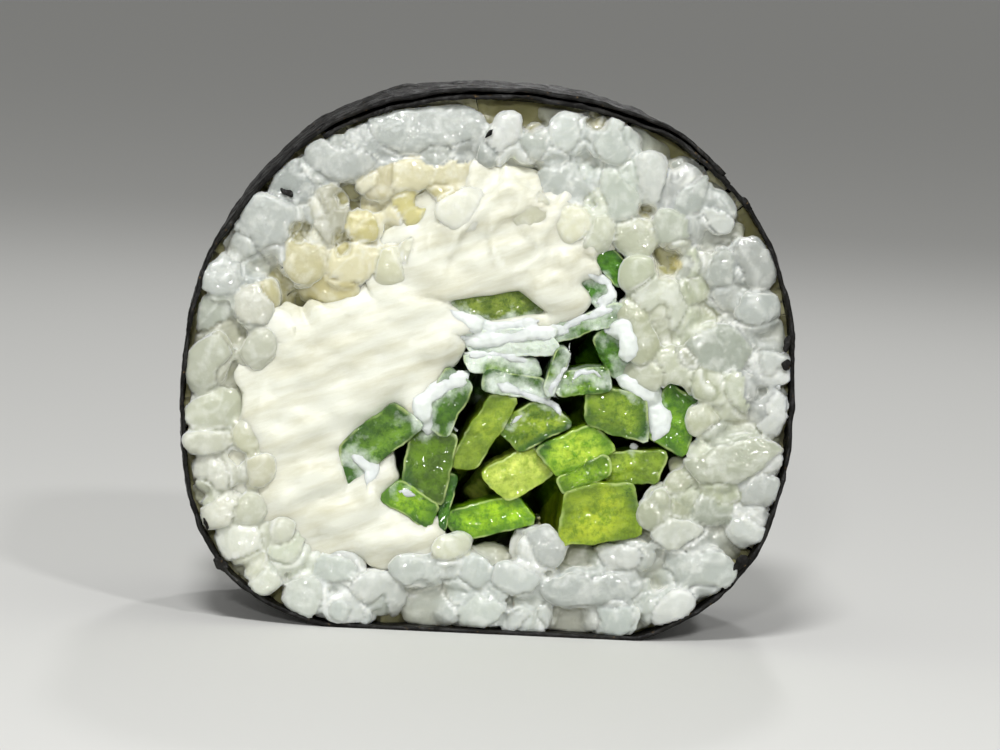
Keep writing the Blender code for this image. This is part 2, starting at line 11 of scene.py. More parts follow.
import bmesh
import bpy
import numpy as np
from mathutils import Matrix, Vector, noise
from mathutils.bvhtree import BVHTree


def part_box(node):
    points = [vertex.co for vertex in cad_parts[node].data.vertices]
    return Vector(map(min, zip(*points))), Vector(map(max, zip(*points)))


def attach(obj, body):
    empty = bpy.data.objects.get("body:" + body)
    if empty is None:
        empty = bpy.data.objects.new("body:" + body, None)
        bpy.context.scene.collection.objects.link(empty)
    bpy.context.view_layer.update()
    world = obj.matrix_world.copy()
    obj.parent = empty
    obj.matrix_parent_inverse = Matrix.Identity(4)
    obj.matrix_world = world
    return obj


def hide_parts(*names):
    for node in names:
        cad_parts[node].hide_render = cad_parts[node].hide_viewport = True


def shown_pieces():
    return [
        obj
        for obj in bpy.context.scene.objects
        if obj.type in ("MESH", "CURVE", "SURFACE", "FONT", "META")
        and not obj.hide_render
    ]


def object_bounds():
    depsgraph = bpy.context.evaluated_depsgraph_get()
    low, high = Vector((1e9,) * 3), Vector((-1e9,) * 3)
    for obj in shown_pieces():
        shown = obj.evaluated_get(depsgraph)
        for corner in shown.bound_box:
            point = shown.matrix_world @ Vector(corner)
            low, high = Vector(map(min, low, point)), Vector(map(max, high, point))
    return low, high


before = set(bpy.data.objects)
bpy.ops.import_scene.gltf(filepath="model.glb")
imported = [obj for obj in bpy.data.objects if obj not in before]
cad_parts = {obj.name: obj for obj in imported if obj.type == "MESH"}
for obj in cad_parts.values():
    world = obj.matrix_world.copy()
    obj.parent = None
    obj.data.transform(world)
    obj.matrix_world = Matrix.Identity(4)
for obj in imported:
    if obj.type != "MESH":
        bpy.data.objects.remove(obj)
cad_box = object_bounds()
MM = 0.001
FACE = -cad_box[0].y / MM          # the cut faces lie this far from the middle, in mm
print("nodes:", len(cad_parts), " box in mm:", [[round(c / MM, 1) for c in p] for p in cad_box])

# %% [markdown]
# ## Small helpers
# Colours are written as sRGB hex values, which is how a colour picker shows them, while shaders
# work in linear light, so one function converts them. Two more add a node to a tree and set or
# link its sockets, because building a tree by hand takes three lines for every node.

# %% Colour and node helpers
def linear(hex_colour):
    """An sRGB hex value as linear RGBA."""
    rgb = [int(hex_colour[k:k + 2], 16) / 255 for k in (0, 2, 4)]
    return (*[c / 12.92 if c <= 0.04045 else ((c + 0.055) / 1.055) ** 2.4 for c in rgb], 1.0)


def connect(tree, node, inputs):
    """Give a node's inputs these values, or link them to these sockets or nodes."""
    for socket, value in inputs.items():
        if isinstance(value, bpy.types.Node):
            value = value.outputs[0]
        if isinstance(value, bpy.types.NodeSocket):
            tree.links.new(value, node.inputs[socket])
        else:
            node.inputs[socket].default_value = value


def add(tree, kind, inputs=None, **settings):
    """Add a node with these inputs; settings are its properties."""
    made = tree.nodes.new(kind)
    for name, value in settings.items():
        setattr(made, name, value)
    connect(tree, made, inputs or {})
    return made


def start_material(name, **sockets):
    """A material with a Principled shader whose own sockets are set: its tree and shader."""
    material = bpy.data.materials.new(name)
    material.use_nodes = True
    shader = material.node_tree.nodes["Principled BSDF"]
    for socket, value in sockets.items():
        shader.inputs[socket.replace("_", " ")].default_value = value
    return material, material.node_tree, shader


# %% [markdown]
# ## Steps that most materials share
# Every material here does the same few things: noise of some size is stretched to a share from 0 to
# 1, the share blends two colours, and the same noise raises small bumps. What varies over a mesh,
# such as each grain's tone, was painted on its points. So each step gets a function of its own.

# %% Steps of a material
PER_MM = 1 / MM                    # a texture's scale for a pattern of 1 mm
COLOUR_A, COLOUR_B, COLOUR_OUT = 6, 7, 2     # sockets of a Mix node in its colour mode


def texture(tree, place, size, detail, **more):
    """Noise with features of this size in mm."""
    inputs = {"Vector": place, "Scale": PER_MM / size, "Detail": detail, **more}
    return add(tree, "ShaderNodeTexNoise", inputs)


def ramp(tree, value, low, high, at_low=0.0, at_high=1.0):
    """What goes from at_low to at_high while the value goes from low to high."""
    return add(tree, "ShaderNodeMapRange", {"Value": value, "From Min": low, "From Max": high,
                                            "To Min": at_low, "To Max": at_high})


def calc(tree, operation, *numbers):
    """A sum, a product or the like."""
    return add(tree, "ShaderNodeMath", dict(enumerate(numbers)), operation=operation)


def blend(tree, share, first, second):
    """The first colour with this share of the second."""
    inputs = {"Factor": share, COLOUR_A: first, COLOUR_B: second}
    return add(tree, "ShaderNodeMix", inputs, data_type="RGBA").outputs[COLOUR_OUT]


def bumps(tree, height, strength, depth, **under):
    """Relief of this depth in mm, on top of the bumps that Normal gives."""
    inputs = {"Height": height, "Strength": strength, "Distance": depth * MM, **under}
    return add(tree, "ShaderNodeBump", inputs)


def painted(tree, name, output="Fac"):
    """What was painted on the mesh under this name."""
    return add(tree, "ShaderNodeAttribute", attribute_name=name).outputs[output]


# %% [markdown]
# ## From numbers to meshes
# Most pieces here are worked out as arrays of points with numpy, in millimetres, and become plain
# meshes in metres at the end. Noise on a point's place gives the unevenness of food: the same
# function serves the wobble of a grain, the streaks of the cheese and the wet bulge of a strip.

# %% Mesh helpers
def corners(node):
    """The corners of a node of the frame, in mm, each place once."""
    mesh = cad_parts[node].data
    places = np.empty(len(mesh.vertices) * 3, np.float32)
    mesh.vertices.foreach_get("co", places)
    return np.unique(np.round(places.reshape(-1, 3) / MM, 3), axis=0)


def points_of(mesh):
    """The mesh's points in mm."""
    places = np.empty(len(mesh.vertices) * 3, np.float32)
    mesh.vertices.foreach_get("co", places)
    return places.reshape(-1, 3).astype(float) / MM


def normals_of(mesh):
    """The outward direction at each point."""
    normals = np.empty(len(mesh.vertices) * 3, np.float32)
    mesh.vertex_normals.foreach_get("vector", normals)
    return normals.reshape(-1, 3).astype(float)


def move_points(mesh, places):
    """Put the mesh's points at these places in mm."""
    mesh.vertices.foreach_set("co", (places * MM).astype(np.float32).ravel())
    mesh.update()


def wobble(places, size, seed, stretch=(1, 1, 1)):
    """Noise from -1 to 1 at each place, with features of this size in mm."""
    scaled = places * np.array(stretch) / size + seed * 7.31
    return np.array([noise.noise(place) for place in scaled.tolist()])


def ridges(places, size, seed, width=0.1):
    """Thin winding lines, 1 on their crest and 0 between them, like the folds of a film."""
    return 1 - ease(np.abs(wobble(places, size, seed)), 0.0, width)


def ease(value, start, end):
    """0 before start, 1 after end, and a smooth rise between them."""
    t = np.clip((value - start) / (end - start), 0.0, 1.0)
    return t * t * (3 - 2 * t)


def paint(mesh, name, values):
    """Store a number or a colour for each point, which the material reads by name."""
    if np.ndim(values) == 1:
        attribute = mesh.attributes.new(name, "FLOAT", "POINT")
        attribute.data.foreach_set("value", values.astype(np.float32))
    else:
        attribute = mesh.attributes.new(name, "FLOAT_COLOR", "POINT")
        rgba = np.column_stack((values[:, :3], np.ones(len(values))))
        attribute.data.foreach_set("color", rgba.astype(np.float32).ravel())


def in_scene(name, data):
    """A new object in the scene."""
    obj = bpy.data.objects.new(name, data)
    bpy.context.scene.collection.objects.link(obj)
    return obj


def put(name, mesh, nodes, material):
    """Make the finished piece: it rides on the slice and stands for these nodes."""
    mesh.name = name
    piece = in_scene(name, mesh)
    mesh.materials.clear()
    mesh.materials.append(material)
    mesh.shade_smooth()
    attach(piece, "root")
    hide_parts(*nodes)
    size = [round(edge / MM, 1) for edge in piece.dimensions]
    print(f"{name}: {len(mesh.polygons)} faces, {size} mm")


def evaluated_mesh(obj):
    """The object's mesh with its modifiers applied; the object itself is removed."""
    graph = bpy.context.evaluated_depsgraph_get()
    mesh = bpy.data.meshes.new_from_object(obj.evaluated_get(graph))
    bpy.data.objects.remove(obj)
    return mesh


def remeshed(mesh, voxel, smoothing):
    """One even, smooth skin over everything in the mesh, from voxels of this size in mm."""
    obj = in_scene("clay", mesh)
    skin = obj.modifiers.new("skin", "REMESH")
    skin.mode = "VOXEL"
    skin.voxel_size = voxel * MM
    relax = obj.modifiers.new("relax", "SMOOTH")
    relax.factor = 0.5
    relax.iterations = smoothing
    return evaluated_mesh(obj)


def mesh_of(bm, name):
    """What is in bm as a new mesh; bm is freed."""
    mesh = bpy.data.meshes.new(name)
    bm.to_mesh(mesh)
    bm.free()
    return mesh


def joined(meshes, name):
    """Several meshes as one."""
    bm = bmesh.new()
    for mesh in meshes:
        bm.from_mesh(mesh)
    return mesh_of(bm, name)


def ray_target(*meshes):
    """The meshes as one search tree that rays can be cast at."""
    bm = bmesh.new()
    for mesh in meshes:
        bm.from_mesh(mesh)
    target = BVHTree.FromBMesh(bm)
    bm.free()
    return target


def merged_copy(node):
    """A copy of a node's mesh with its loose triangles joined."""
    bm = bmesh.new()
    bm.from_mesh(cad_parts[node].data)
    bmesh.ops.remove_doubles(bm, verts=bm.verts, dist=0.002 * MM)
    return mesh_of(bm, node + "_copy")


# %% [markdown]
# ## Geometry Nodes
# Rice repeats one shape, and nori follows one path, so Geometry Nodes make both. A tree is built
# here with named inputs, and a modifier runs it. The result is turned into a plain mesh at once,
# because finished food is easier to press, cut and colour point by point.

# %% Trees with named inputs
SOCKETS = {float: "NodeSocketFloat", int: "NodeSocketInt"}


def start_tree(name, **values):
    """A tree with a geometry input, a named input for each value and a material input."""
    tree = bpy.data.node_groups.new(name, "GeometryNodeTree")
    tree.interface.new_socket("Geometry", in_out="INPUT", socket_type="NodeSocketGeometry")
    for label, value in values.items():
        kind = SOCKETS[type(value)]
        tree.interface.new_socket(label, in_out="INPUT", socket_type=kind).default_value = value
    tree.interface.new_socket("Material", in_out="INPUT", socket_type="NodeSocketMaterial")
    tree.interface.new_socket("Geometry", in_out="OUTPUT", socket_type="NodeSocketGeometry")
    return tree, add(tree, "NodeGroupInput")


def finish_tree(tree, start, geometry):
    """Every tree ends alike: the instances are made real and get the material."""
    real = add(tree, "GeometryNodeRealizeInstances", {"Geometry": geometry})
    smooth = add(tree, "GeometryNodeSetShadeSmooth", {"Geometry": real})
    finish = {"Geometry": smooth, "Material": start.outputs["Material"]}
    coloured = add(tree, "GeometryNodeSetMaterial", finish)
    add(tree, "NodeGroupOutput", {"Geometry": coloured})


def run_tree(tree, mesh, **values):
    """Run a tree on a mesh with these input values: the resulting plain mesh."""
    obj = in_scene("nodes", mesh)
    modifier = obj.modifiers.new("nodes", "NODES")
    modifier.node_group = tree
    for socket in tree.interface.items_tree:
        if socket.in_out == "INPUT" and socket.name in values:
            modifier[socket.identifier] = values[socket.name]
    return evaluated_mesh(obj)


# %% [markdown]
# ## Nori: pressed and toasted seaweed
# Nori is made like paper: shredded seaweed is poured in a thin layer, dried and toasted. It is
# almost black, with olive where light comes through, and it wrinkles as it takes up water from
# the rice, so the wrinkles catch long soft highlights. A satin roughness with fine bumps gives that
# look; colour alone would look like rubber. Its rare brown specks are painted glints.

# %% Nori material
NORI_DARK, NORI_OLIVE, NORI_GLINT_BROWN = "050403", "100F0A", "6B5430"
nori, tree, shader = start_material("toasted_nori", IOR=1.45)
place = add(tree, "ShaderNodeTexCoord").outputs["Object"]
patches = texture(tree, place, 2.5, 6.0)
specks = texture(tree, place, 0.35, 3.0)
creases = texture(tree, place, 1.1, 8.0, Roughness=0.6, Distortion=0.6)
olive = ramp(tree, patches, 0.42, 0.68)
# Painted glints: rare brown specks in the colour stand for glints on the sheet
brown = ramp(tree, specks, 0.66, 0.78)
ground = blend(tree, olive, linear(NORI_DARK), linear(NORI_OLIVE))
colour = blend(tree, brown, ground, linear(NORI_GLINT_BROWN))
rough = ramp(tree, creases, 0.42, 0.62, 0.6, 0.34)
shine = ramp(tree, creases, 0.42, 0.62, 0.2, 0.45)
coarse = bumps(tree, creases, 0.8, 0.4)
fine = bumps(tree, specks, 0.35, 0.15, Normal=coarse)
connect(tree, shader, {"Base Color": colour, "Roughness": rough, "Specular IOR Level": shine,
                       "Normal": fine})
print("material:", nori.name)

# %% [markdown]
# ## Nori: one sheet, wound once and a bit
# The sheet's section is a path: it starts at the flap at the upper right, lies outside the layer
# below over the top, and winds once round to its tucked inner end. The roll has sagged to a
# rounded square with a flat base, which a superellipse for each quarter gives. The tree bends a
# grid along that path and lifts it into wrinkles; Solidify then gives it its thickness.

# %% Nori path
low, high = (np.array(corner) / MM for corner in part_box("nori"))
SHEET = 0.28                       # thickness of the damp sheet, mm
ROLL_WIDTH = high[0] - low[0] - 0.1
WIDEST = 17.0                      # height at which the roll is widest
QUARTERS = ((20.3, 2.37), (20.3, 2.15), (17.5, 3.0), (18.2, 2.6))    # reach and roundness
FLAP, TUCK, CLIMB = 42.0, 125.0, 12.0      # angles of both ends, and of the flap's step down
FLAP_LIFT = 0.5                    # how far the flap lies outside the layer below


def roll_point(angle, inset=0.0):
    """A point of the roll's outline at an angle in degrees, moved inwards by the inset."""
    def outline(a):
        reach, roundness = QUARTERS[int(a // 90) % 4]
        c, s = math.cos(math.radians(a)), math.sin(math.radians(a))
        x = ROLL_WIDTH / 2 * math.copysign(abs(c) ** (2 / roundness), c)
        z = WIDEST + reach * math.copysign(abs(s) ** (2 / roundness), s)
        return np.array((x, max(z, SHEET)))
    along = outline(angle + 0.5) - outline(angle - 0.5)
    along /= np.linalg.norm(along)
    return outline(angle) + inset * np.array((-along[1], along[0]))


winding = np.arange(FLAP, 360 + TUCK, 1.0)
lift = FLAP_LIFT * (0.6 + 0.4 * ease(winding, FLAP + 4, FLAP + 22))
lift *= 1 - ease(winding, TUCK - 3, TUCK + CLIMB)
path = np.array([roll_point(angle, -up) for angle, up in zip(winding, lift)])
path_mesh = bpy.data.meshes.new("nori_path")
path_mesh.from_pydata([(x * MM, 0, z * MM) for x, z in path],
                      [(k, k + 1) for k in range(len(path) - 1)], [])
print("nori path:", len(path), "points,", round(float(np.linalg.norm(
    np.diff(path, axis=0), axis=1).sum())), "mm long")

# %% [markdown]
# The tree reads a place along the path for each column of a grid and a place along the slice for
# each row. One noise draws the two cut edges in and out, and a second one lifts wrinkles, but not
# under the slice, where its weight holds the sheet flat.

# %% Nori tree
tree, start = start_tree("wound_sheet", Length=18.5 * MM, Columns=640, Rows=90,
                         Wrinkle=0.26 * MM, Ragged=0.45 * MM, Seed=4.0)
line = add(tree, "GeometryNodeMeshToCurve", {"Mesh": start.outputs["Geometry"]})
grid = add(tree, "GeometryNodeMeshGrid", {"Size X": 1.0, "Size Y": 1.0,
                                          "Vertices X": start.outputs["Columns"],
                                          "Vertices Y": start.outputs["Rows"]})
spot = add(tree, "ShaderNodeSeparateXYZ", {0: add(tree, "GeometryNodeInputPosition").outputs[0]})
share = calc(tree, "ADD", spot.outputs["X"], 0.5)
sample = add(tree, "GeometryNodeSampleCurve", {"Curves": line, "Factor": share}, mode="FACTOR")
outward = add(tree, "ShaderNodeVectorMath", {0: sample.outputs["Tangent"], 1: (0.0, 1.0, 0.0)},
              operation="CROSS_PRODUCT")
across = add(tree, "ShaderNodeCombineXYZ", {"Y": spot.outputs["Y"]})
wide = add(tree, "ShaderNodeVectorMath", {0: across, "Scale": start.outputs["Length"]},
           operation="SCALE")
spread = add(tree, "ShaderNodeVectorMath", {0: sample.outputs["Position"], 1: wide},
             operation="ADD")
jag = add(tree, "ShaderNodeTexNoise", {"Vector": sample.outputs["Position"], "Scale": PER_MM / 1.6,
                                       "Detail": 5.0, "W": start.outputs["Seed"]},
          noise_dimensions="4D")
jag_size = calc(tree, "MULTIPLY", jag, start.outputs["Ragged"])
jag_shift = add(tree, "ShaderNodeVectorMath", {0: across, "Scale": jag_size}, operation="SCALE")
cut = add(tree, "ShaderNodeVectorMath", {0: spread, 1: jag_shift}, operation="ADD")
waves = add(tree, "ShaderNodeTexNoise", {"Vector": spread, "Scale": PER_MM / 4.5, "Detail": 4.0,
                                         "Roughness": 0.45, "W": start.outputs["Seed"]},
            noise_dimensions="4D")
centred = calc(tree, "SUBTRACT", waves, 0.55)
height = add(tree, "ShaderNodeSeparateXYZ", {0: sample.outputs["Position"]})
standing = ramp(tree, height.outputs["Z"], 0.3 * MM, 4.0 * MM)
free = calc(tree, "MULTIPLY", centred, standing)
rise = calc(tree, "MULTIPLY", free, start.outputs["Wrinkle"])
strong = calc(tree, "MULTIPLY", rise, 4.0)
bump = add(tree, "ShaderNodeVectorMath", {0: outward, "Scale": strong}, operation="SCALE")
shaped = add(tree, "ShaderNodeVectorMath", {0: cut, 1: bump}, operation="ADD")
sheet = add(tree, "GeometryNodeSetPosition", {"Geometry": grid.outputs["Mesh"], "Position": shaped})
finish_tree(tree, start, sheet.outputs[0])
nori_tree = tree

# %% [markdown]
# The free end of a sheet is never straight: it tears where it is cut damp. So the last few columns
# of the grid are drawn back by different amounts. Solidify gives the thickness, and a fine crinkle
# moves both of its sides.

# %% Nori sheet
COLUMNS, ROWS, TORN = 560, 72, 13
nori_mesh = run_tree(nori_tree, path_mesh, Material=nori, Columns=COLUMNS, Rows=ROWS)
places = points_of(nori_mesh).reshape(COLUMNS, ROWS, 3)
torn = wobble(places[0] * (0, 1, 0), 2.6, 9) + 0.5 * wobble(places[0] * (0, 1, 0), 0.8, 10)
back = 0.8 * ease(torn, -0.7, 0.7)[:, None] * (places[TORN] - places[0])
places[:TORN] += back[None] * (1 - np.arange(TORN) / TORN)[:, None, None]
move_points(nori_mesh, places.reshape(-1, 3))
thick = in_scene("thick", nori_mesh)
wall = thick.modifiers.new("thickness", "SOLIDIFY")
wall.thickness = SHEET * MM
wall.offset = -1
nori_mesh = evaluated_mesh(thick)
places = points_of(nori_mesh)
crinkle = 0.09 * wobble(places, 1.3, 21) + 0.07 * wobble(places, 0.55, 22)
crinkle *= ease(places[:, 2], 0.4, 2.0)
move_points(nori_mesh, places + normals_of(nori_mesh) * crinkle[:, None] * (1, 2.2, 1))
put("nori_sheet", nori_mesh, ["nori"], nori)

# %% [markdown]
# A few crumbs torn off the sheet stick to its edge and to the rice. Each is a flat ball, broken up
# by noise in two sizes until nothing of the ball is left.

# %% Nori crumbs
# Crumbs: x, z, length, width, turn in degrees, how far from the middle of the slice
CRUMBS = ((-14.7, 30.2, 1.0, 0.5, -30, 9.8), (-0.9, 35.0, 0.9, 0.2, 50, 9.6),
          (20.6, 21.4, 1.1, 0.5, 80, 9.3), (20.7, 19.9, 0.7, 0.4, 70, 9.4),
          (18.2, 5.8, 1.5, 0.8, 60, 9.5), (-18.0, 4.0, 1.3, 0.7, -55, 9.4),
          (-19.2, 6.8, 1.0, 0.4, -70, 9.4), (17.2, 31.0, 1.1, 0.3, -50, 9.5))
bm = bmesh.new()
for x, z, length, width, turn, depth in CRUMBS:
    crumb = (Matrix.Translation(Vector((x, -depth, z)) * MM)
             @ Matrix.Rotation(-math.radians(turn), 4, "Y")
             @ Matrix.Diagonal((length * MM / 2, 0.16 * MM, width * MM / 2, 1)))
    bmesh.ops.create_icosphere(bm, subdivisions=4, radius=1.0, matrix=crumb)
crumb_mesh = mesh_of(bm, "crumbs")
places = points_of(crumb_mesh)
rough = 0.3 * wobble(places, 0.9, 3) + 0.12 * wobble(places, 0.3, 4)
places += normals_of(crumb_mesh) * rough[:, None] * (1, 0.5, 1)
places[:, 1] += 0.3 * wobble(places * (1, 0, 1), 0.8, 5)
move_points(crumb_mesh, places)
put("nori_crumbs", crumb_mesh, ["nori"], nori)

# %% [markdown]
# ## Rice: the room it fills
# The rice fills a ring between the nori and the filling. Rays sent out from the middle of the
# filling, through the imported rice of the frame, find both walls of that ring. Every grain is later
# kept between these walls, which presses the outermost grains flat against the nori, as they are
# in a real roll.

# %% Walls of the ring
CORE_FACE = 7.5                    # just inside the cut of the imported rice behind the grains
MIDDLE = np.array((-0.75, 18.6))   # x and z of the filling's middle
FAR = 40.0
FLATTENED = 1.5                    # so deep the outermost grains are pressed flat
PRESSED = 0.45                     # real rice closes the small gap that parts it from the nori
OVERHANG = 0.4                     # at the sides the grains hang over the sheet's cut edge
rice_solid = merged_copy("rice")
rice_tree = ray_target(rice_solid)
BEARINGS = np.radians(np.arange(-180, 181, 3))


def wall_reach(bearing, inwards):
    """Distance in mm from the middle to the ring's inner wall, or to its outer wall."""
    way = np.array((math.cos(bearing), math.sin(bearing)))
    start, way = (MIDDLE + FAR * way, -way) if inwards else (MIDDLE, way)
    hit = rice_tree.ray_cast(Vector((start[0] * MM, CORE_FACE * MM, start[1] * MM)),
                             Vector((way[0], 0, way[1])))
    return FAR - hit[3] / MM if inwards else hit[3] / MM


INNER = np.array([wall_reach(bearing, False) for bearing in BEARINGS])
OUTER = np.array([wall_reach(bearing, True) for bearing in BEARINGS]) + PRESSED
print("ring: inner reach", INNER.min().round(1), "to", INNER.max().round(1), " outer reach",
      OUTER.min().round(1), "to", OUTER.max().round(1))


def bearing_and_reach(xz):
    """Polar place about the filling's middle, and the reach of both walls there."""
    away = xz - MIDDLE
    bearing = np.arctan2(away[..., 1], away[..., 0])
    reach = np.linalg.norm(away, axis=-1)
    inner = np.interp(bearing, BEARINGS, INNER)
    return bearing, reach, inner, np.interp(bearing, BEARINGS, OUTER)


def keep_in_ring(places, slack):
    """Move points that stand out of the ring back to its walls; the cut faces bulge a little."""
    xz = places[..., (0, 2)]
    bearing, reach, inner, outer = bearing_and_reach(xz)
    bulge = 0.3 + OVERHANG * ease(np.abs(np.cos(bearing)), 0.45, 0.8)
    outer = outer + bulge * ease(np.abs(places[..., 1]), FACE - 1.0, FACE - 0.4)
    to_nori = outer - reach
    reach_pressed = outer - to_nori * ease(to_nori, 0.0, FLATTENED)
    reach_pressed = np.where(to_nori < FLATTENED, reach_pressed, reach)
    share = np.clip(reach_pressed, inner - slack, outer + 0.05) / np.maximum(reach, 1e-6)
    places[..., (0, 2)] = MIDDLE + (xz - MIDDLE) * share[..., None]
    return places


# %% [markdown]
# ## Rice: held in by the nori
# The damp sheet is wrinkled, so no single radius says where the rice ends. Each point near the
# sheet looks outwards from the middle for the sheet's inner side, and ends just inside it. Real
# rice sticks to the nori in the same way, and none of it comes through.

# %% Held in by the nori
HELD = 0.06                        # how far the rice reaches into the sheet, mm
BASE = 0.1                         # the lowest rice, just above what the slice stands on
sheet_tree = ray_target(nori_mesh)


def held_in_nori(places, near, swell):
    """Bring points nearer than this to the ring's outer wall to the sheet's inner side.

    With swell they all go there, and without it only those that stand out of it do.
    """
    bearing, reach, _, outer = bearing_and_reach(places[:, (0, 2)])
    for k in np.flatnonzero(reach > outer - near):
        way = Vector((math.cos(bearing[k]), 0, math.sin(bearing[k])))
        hit = sheet_tree.ray_cast(Vector((MIDDLE[0], places[k, 1], MIDDLE[1])) * MM, way)[3]
        if hit is not None and (swell or reach[k] > hit / MM + HELD):
            places[k, (0, 2)] = MIDDLE + (hit / MM + HELD) * np.array((way.x, way.z))
    places[:, 2] = np.maximum(places[:, 2], BASE)
    return places


# %% [markdown]
# ## Rice: laying the grains
# Cooked sushi rice is sticky and is pressed into the roll by hand, so the grains touch all round
# and leave only small pits. Each grain of the front face has a row of numbers: its place, the
# length and width that show, and its turn. The back face starts from random places. In both, the
# grains then push each other apart until they only just press together. A grain is felt as three
# discs in a row, which is far quicker than testing real ellipses.

# %% Grain tables
# Front grains from the top round by the left: x, z, length, width, turn in degrees
FRONT_GRAINS = (
    (-0.2, 34.3, 4.2, 2.4, 52), (-6.3, 34.7, 8.6, 3.0, 6), (-6.4, 31.7, 8.4, 2.9, -5),
    (-11.2, 33.2, 5.0, 3.0, -14), (-13.9, 31.2, 3.6, 2.9, 62), (-16.3, 27.9, 5.7, 3.4, 44),
    (-11.8, 28.9, 4.6, 2.7, -72), (-9.2, 28.2, 3.0, 2.4, 5), (-6.4, 28.8, 3.7, 3.0, 4),
    (-13.1, 25.5, 4.0, 3.4, -60), (-9.8, 25.6, 3.9, 3.0, 30), (-18.5, 24.0, 3.4, 2.4, 60),
    (-16.7, 22.6, 3.8, 2.9, 58), (-18.9, 21.4, 3.3, 2.4, 70), (-19.3, 18.0, 4.6, 2.3, 82),
    (-19.0, 15.0, 3.8, 2.8, 40), (-19.1, 12.6, 3.0, 2.3, -30), (-18.6, 10.6, 3.0, 2.4, -15),
    (-17.9, 8.0, 2.8, 2.4, 60), (-16.8, 5.6, 3.2, 2.8, 20), (-13.6, 5.2, 3.0, 2.6, 60),
    (-14.9, 3.4, 2.6, 2.2, -40), (-12.1, 2.2, 3.0, 2.6, 3), (-10.4, 4.0, 4.0, 2.3, 3),
    (-8.7, 1.7, 3.4, 1.9, 3), (-6.8, 2.7, 4.6, 2.6, 3), (-4.2, 3.9, 4.2, 2.4, 3),
    (-1.1, 4.1, 3.5, 2.5, 18), (-0.5, 1.7, 5.8, 2.2, 0), (2.8, 3.9, 4.0, 2.5, -6),
    (3.8, 1.9, 4.2, 1.9, 18), (4.2, 6.2, 3.4, 3.0, 5), (8.0, 3.6, 7.6, 2.7, 17),
    (8.9, 1.8, 4.4, 2.2, 8), (9.8, 5.0, 4.4, 2.2, 22), (13.3, 2.5, 4.0, 2.1, 28),
    (14.7, 5.4, 5.4, 3.2, 5), (13.9, 7.7, 4.0, 2.4, -8), (18.4, 8.3, 2.8, 2.3, 50),
    (16.2, 9.5, 3.6, 2.8, -10), (13.9, 10.9, 3.9, 2.3, -80), (19.0, 11.2, 3.2, 2.4, 65),
    (16.8, 12.9, 6.6, 3.3, 24), (19.4, 15.6, 4.0, 2.1, 73), (17.5, 17.2, 4.2, 2.6, -72),
    (19.3, 19.9, 3.4, 2.3, -57), (13.4, 19.2, 4.2, 2.9, -20), (16.0, 20.8, 4.9, 3.3, 5),
    (12.6, 23.7, 5.3, 3.8, -28), (17.9, 23.6, 3.4, 3.0, 3), (15.3, 25.0, 5.8, 2.9, 62),
    (13.6, 26.9, 3.2, 2.6, -20), (17.6, 26.7, 3.8, 2.4, -50), (9.8, 28.7, 3.2, 2.7, 0),
    (12.7, 29.0, 4.3, 2.7, -7), (15.0, 30.0, 3.0, 2.0, -57), (13.0, 31.6, 3.8, 2.5, -72),
    (10.5, 32.2, 4.4, 2.7, -66), (8.1, 31.4, 4.2, 2.8, -57), (7.8, 34.2, 3.8, 2.7, -48),
    (4.9, 32.0, 4.2, 2.9, -17), (4.5, 35.0, 3.6, 2.6, 12), (2.4, 34.4, 2.8, 2.2, 30),
)
# Grains that lie half sunk in the cheese or deeper by the strips
SUNK_GRAINS = (
    (-1.6, 29.6, 5.2, 3.0, 3), (2.3, 29.9, 3.4, 3.0, 80), (-5.0, 26.4, 4.0, 2.8, 20),
    (5.0, 29.2, 3.4, 2.6, -30), (7.0, 28.4, 3.0, 2.4, 60), (-7.4, 25.2, 3.2, 2.6, 50),
    (-15.8, 10.7, 2.8, 2.4, 60), (-16.2, 7.9, 2.8, 2.4, 30), (-14.3, 6.4, 2.8, 2.4, -20),
    (-16.4, 13.4, 3.0, 2.4, 80), (-16.3, 19.2, 3.2, 2.4, 60), (-1.9, 5.9, 3.0, 2.2, 10),
    (10.4, 21.8, 5.2, 2.6, -80), (10.3, 25.4, 3.6, 2.6, -60), (11.1, 18.7, 3.4, 2.4, 20),
    (12.3, 9.4, 3.4, 2.4, 60), (15.4, 15.9, 3.2, 2.4, 40), (15.1, 18.3, 3.4, 2.4, -40),
)
BACK_GRAINS = 74


def grains_in_ring(rng, count):
    """Random grains for a face, each at the emptiest of a few random places."""
    grains = []
    while len(grains) < count:
        tries = rng.uniform((-21, 0), (21, 38), (200, 2))
        _, reach, inner, outer = bearing_and_reach(tries)
        tries = tries[(reach > inner + 1.2) & (reach < outer - 1.2)][:16]
        placed = np.array(grains)[:, :2] if grains else np.full((1, 2), FAR)
        room = np.linalg.norm(tries[:, None] - placed[None], axis=2).min(axis=1)
        spot = tries[np.argmax(room)]
        grains.append((*spot, rng.uniform(3.0, 6.0), rng.uniform(2.4, 3.1),
                       rng.uniform(-90, 90)))
    return grains


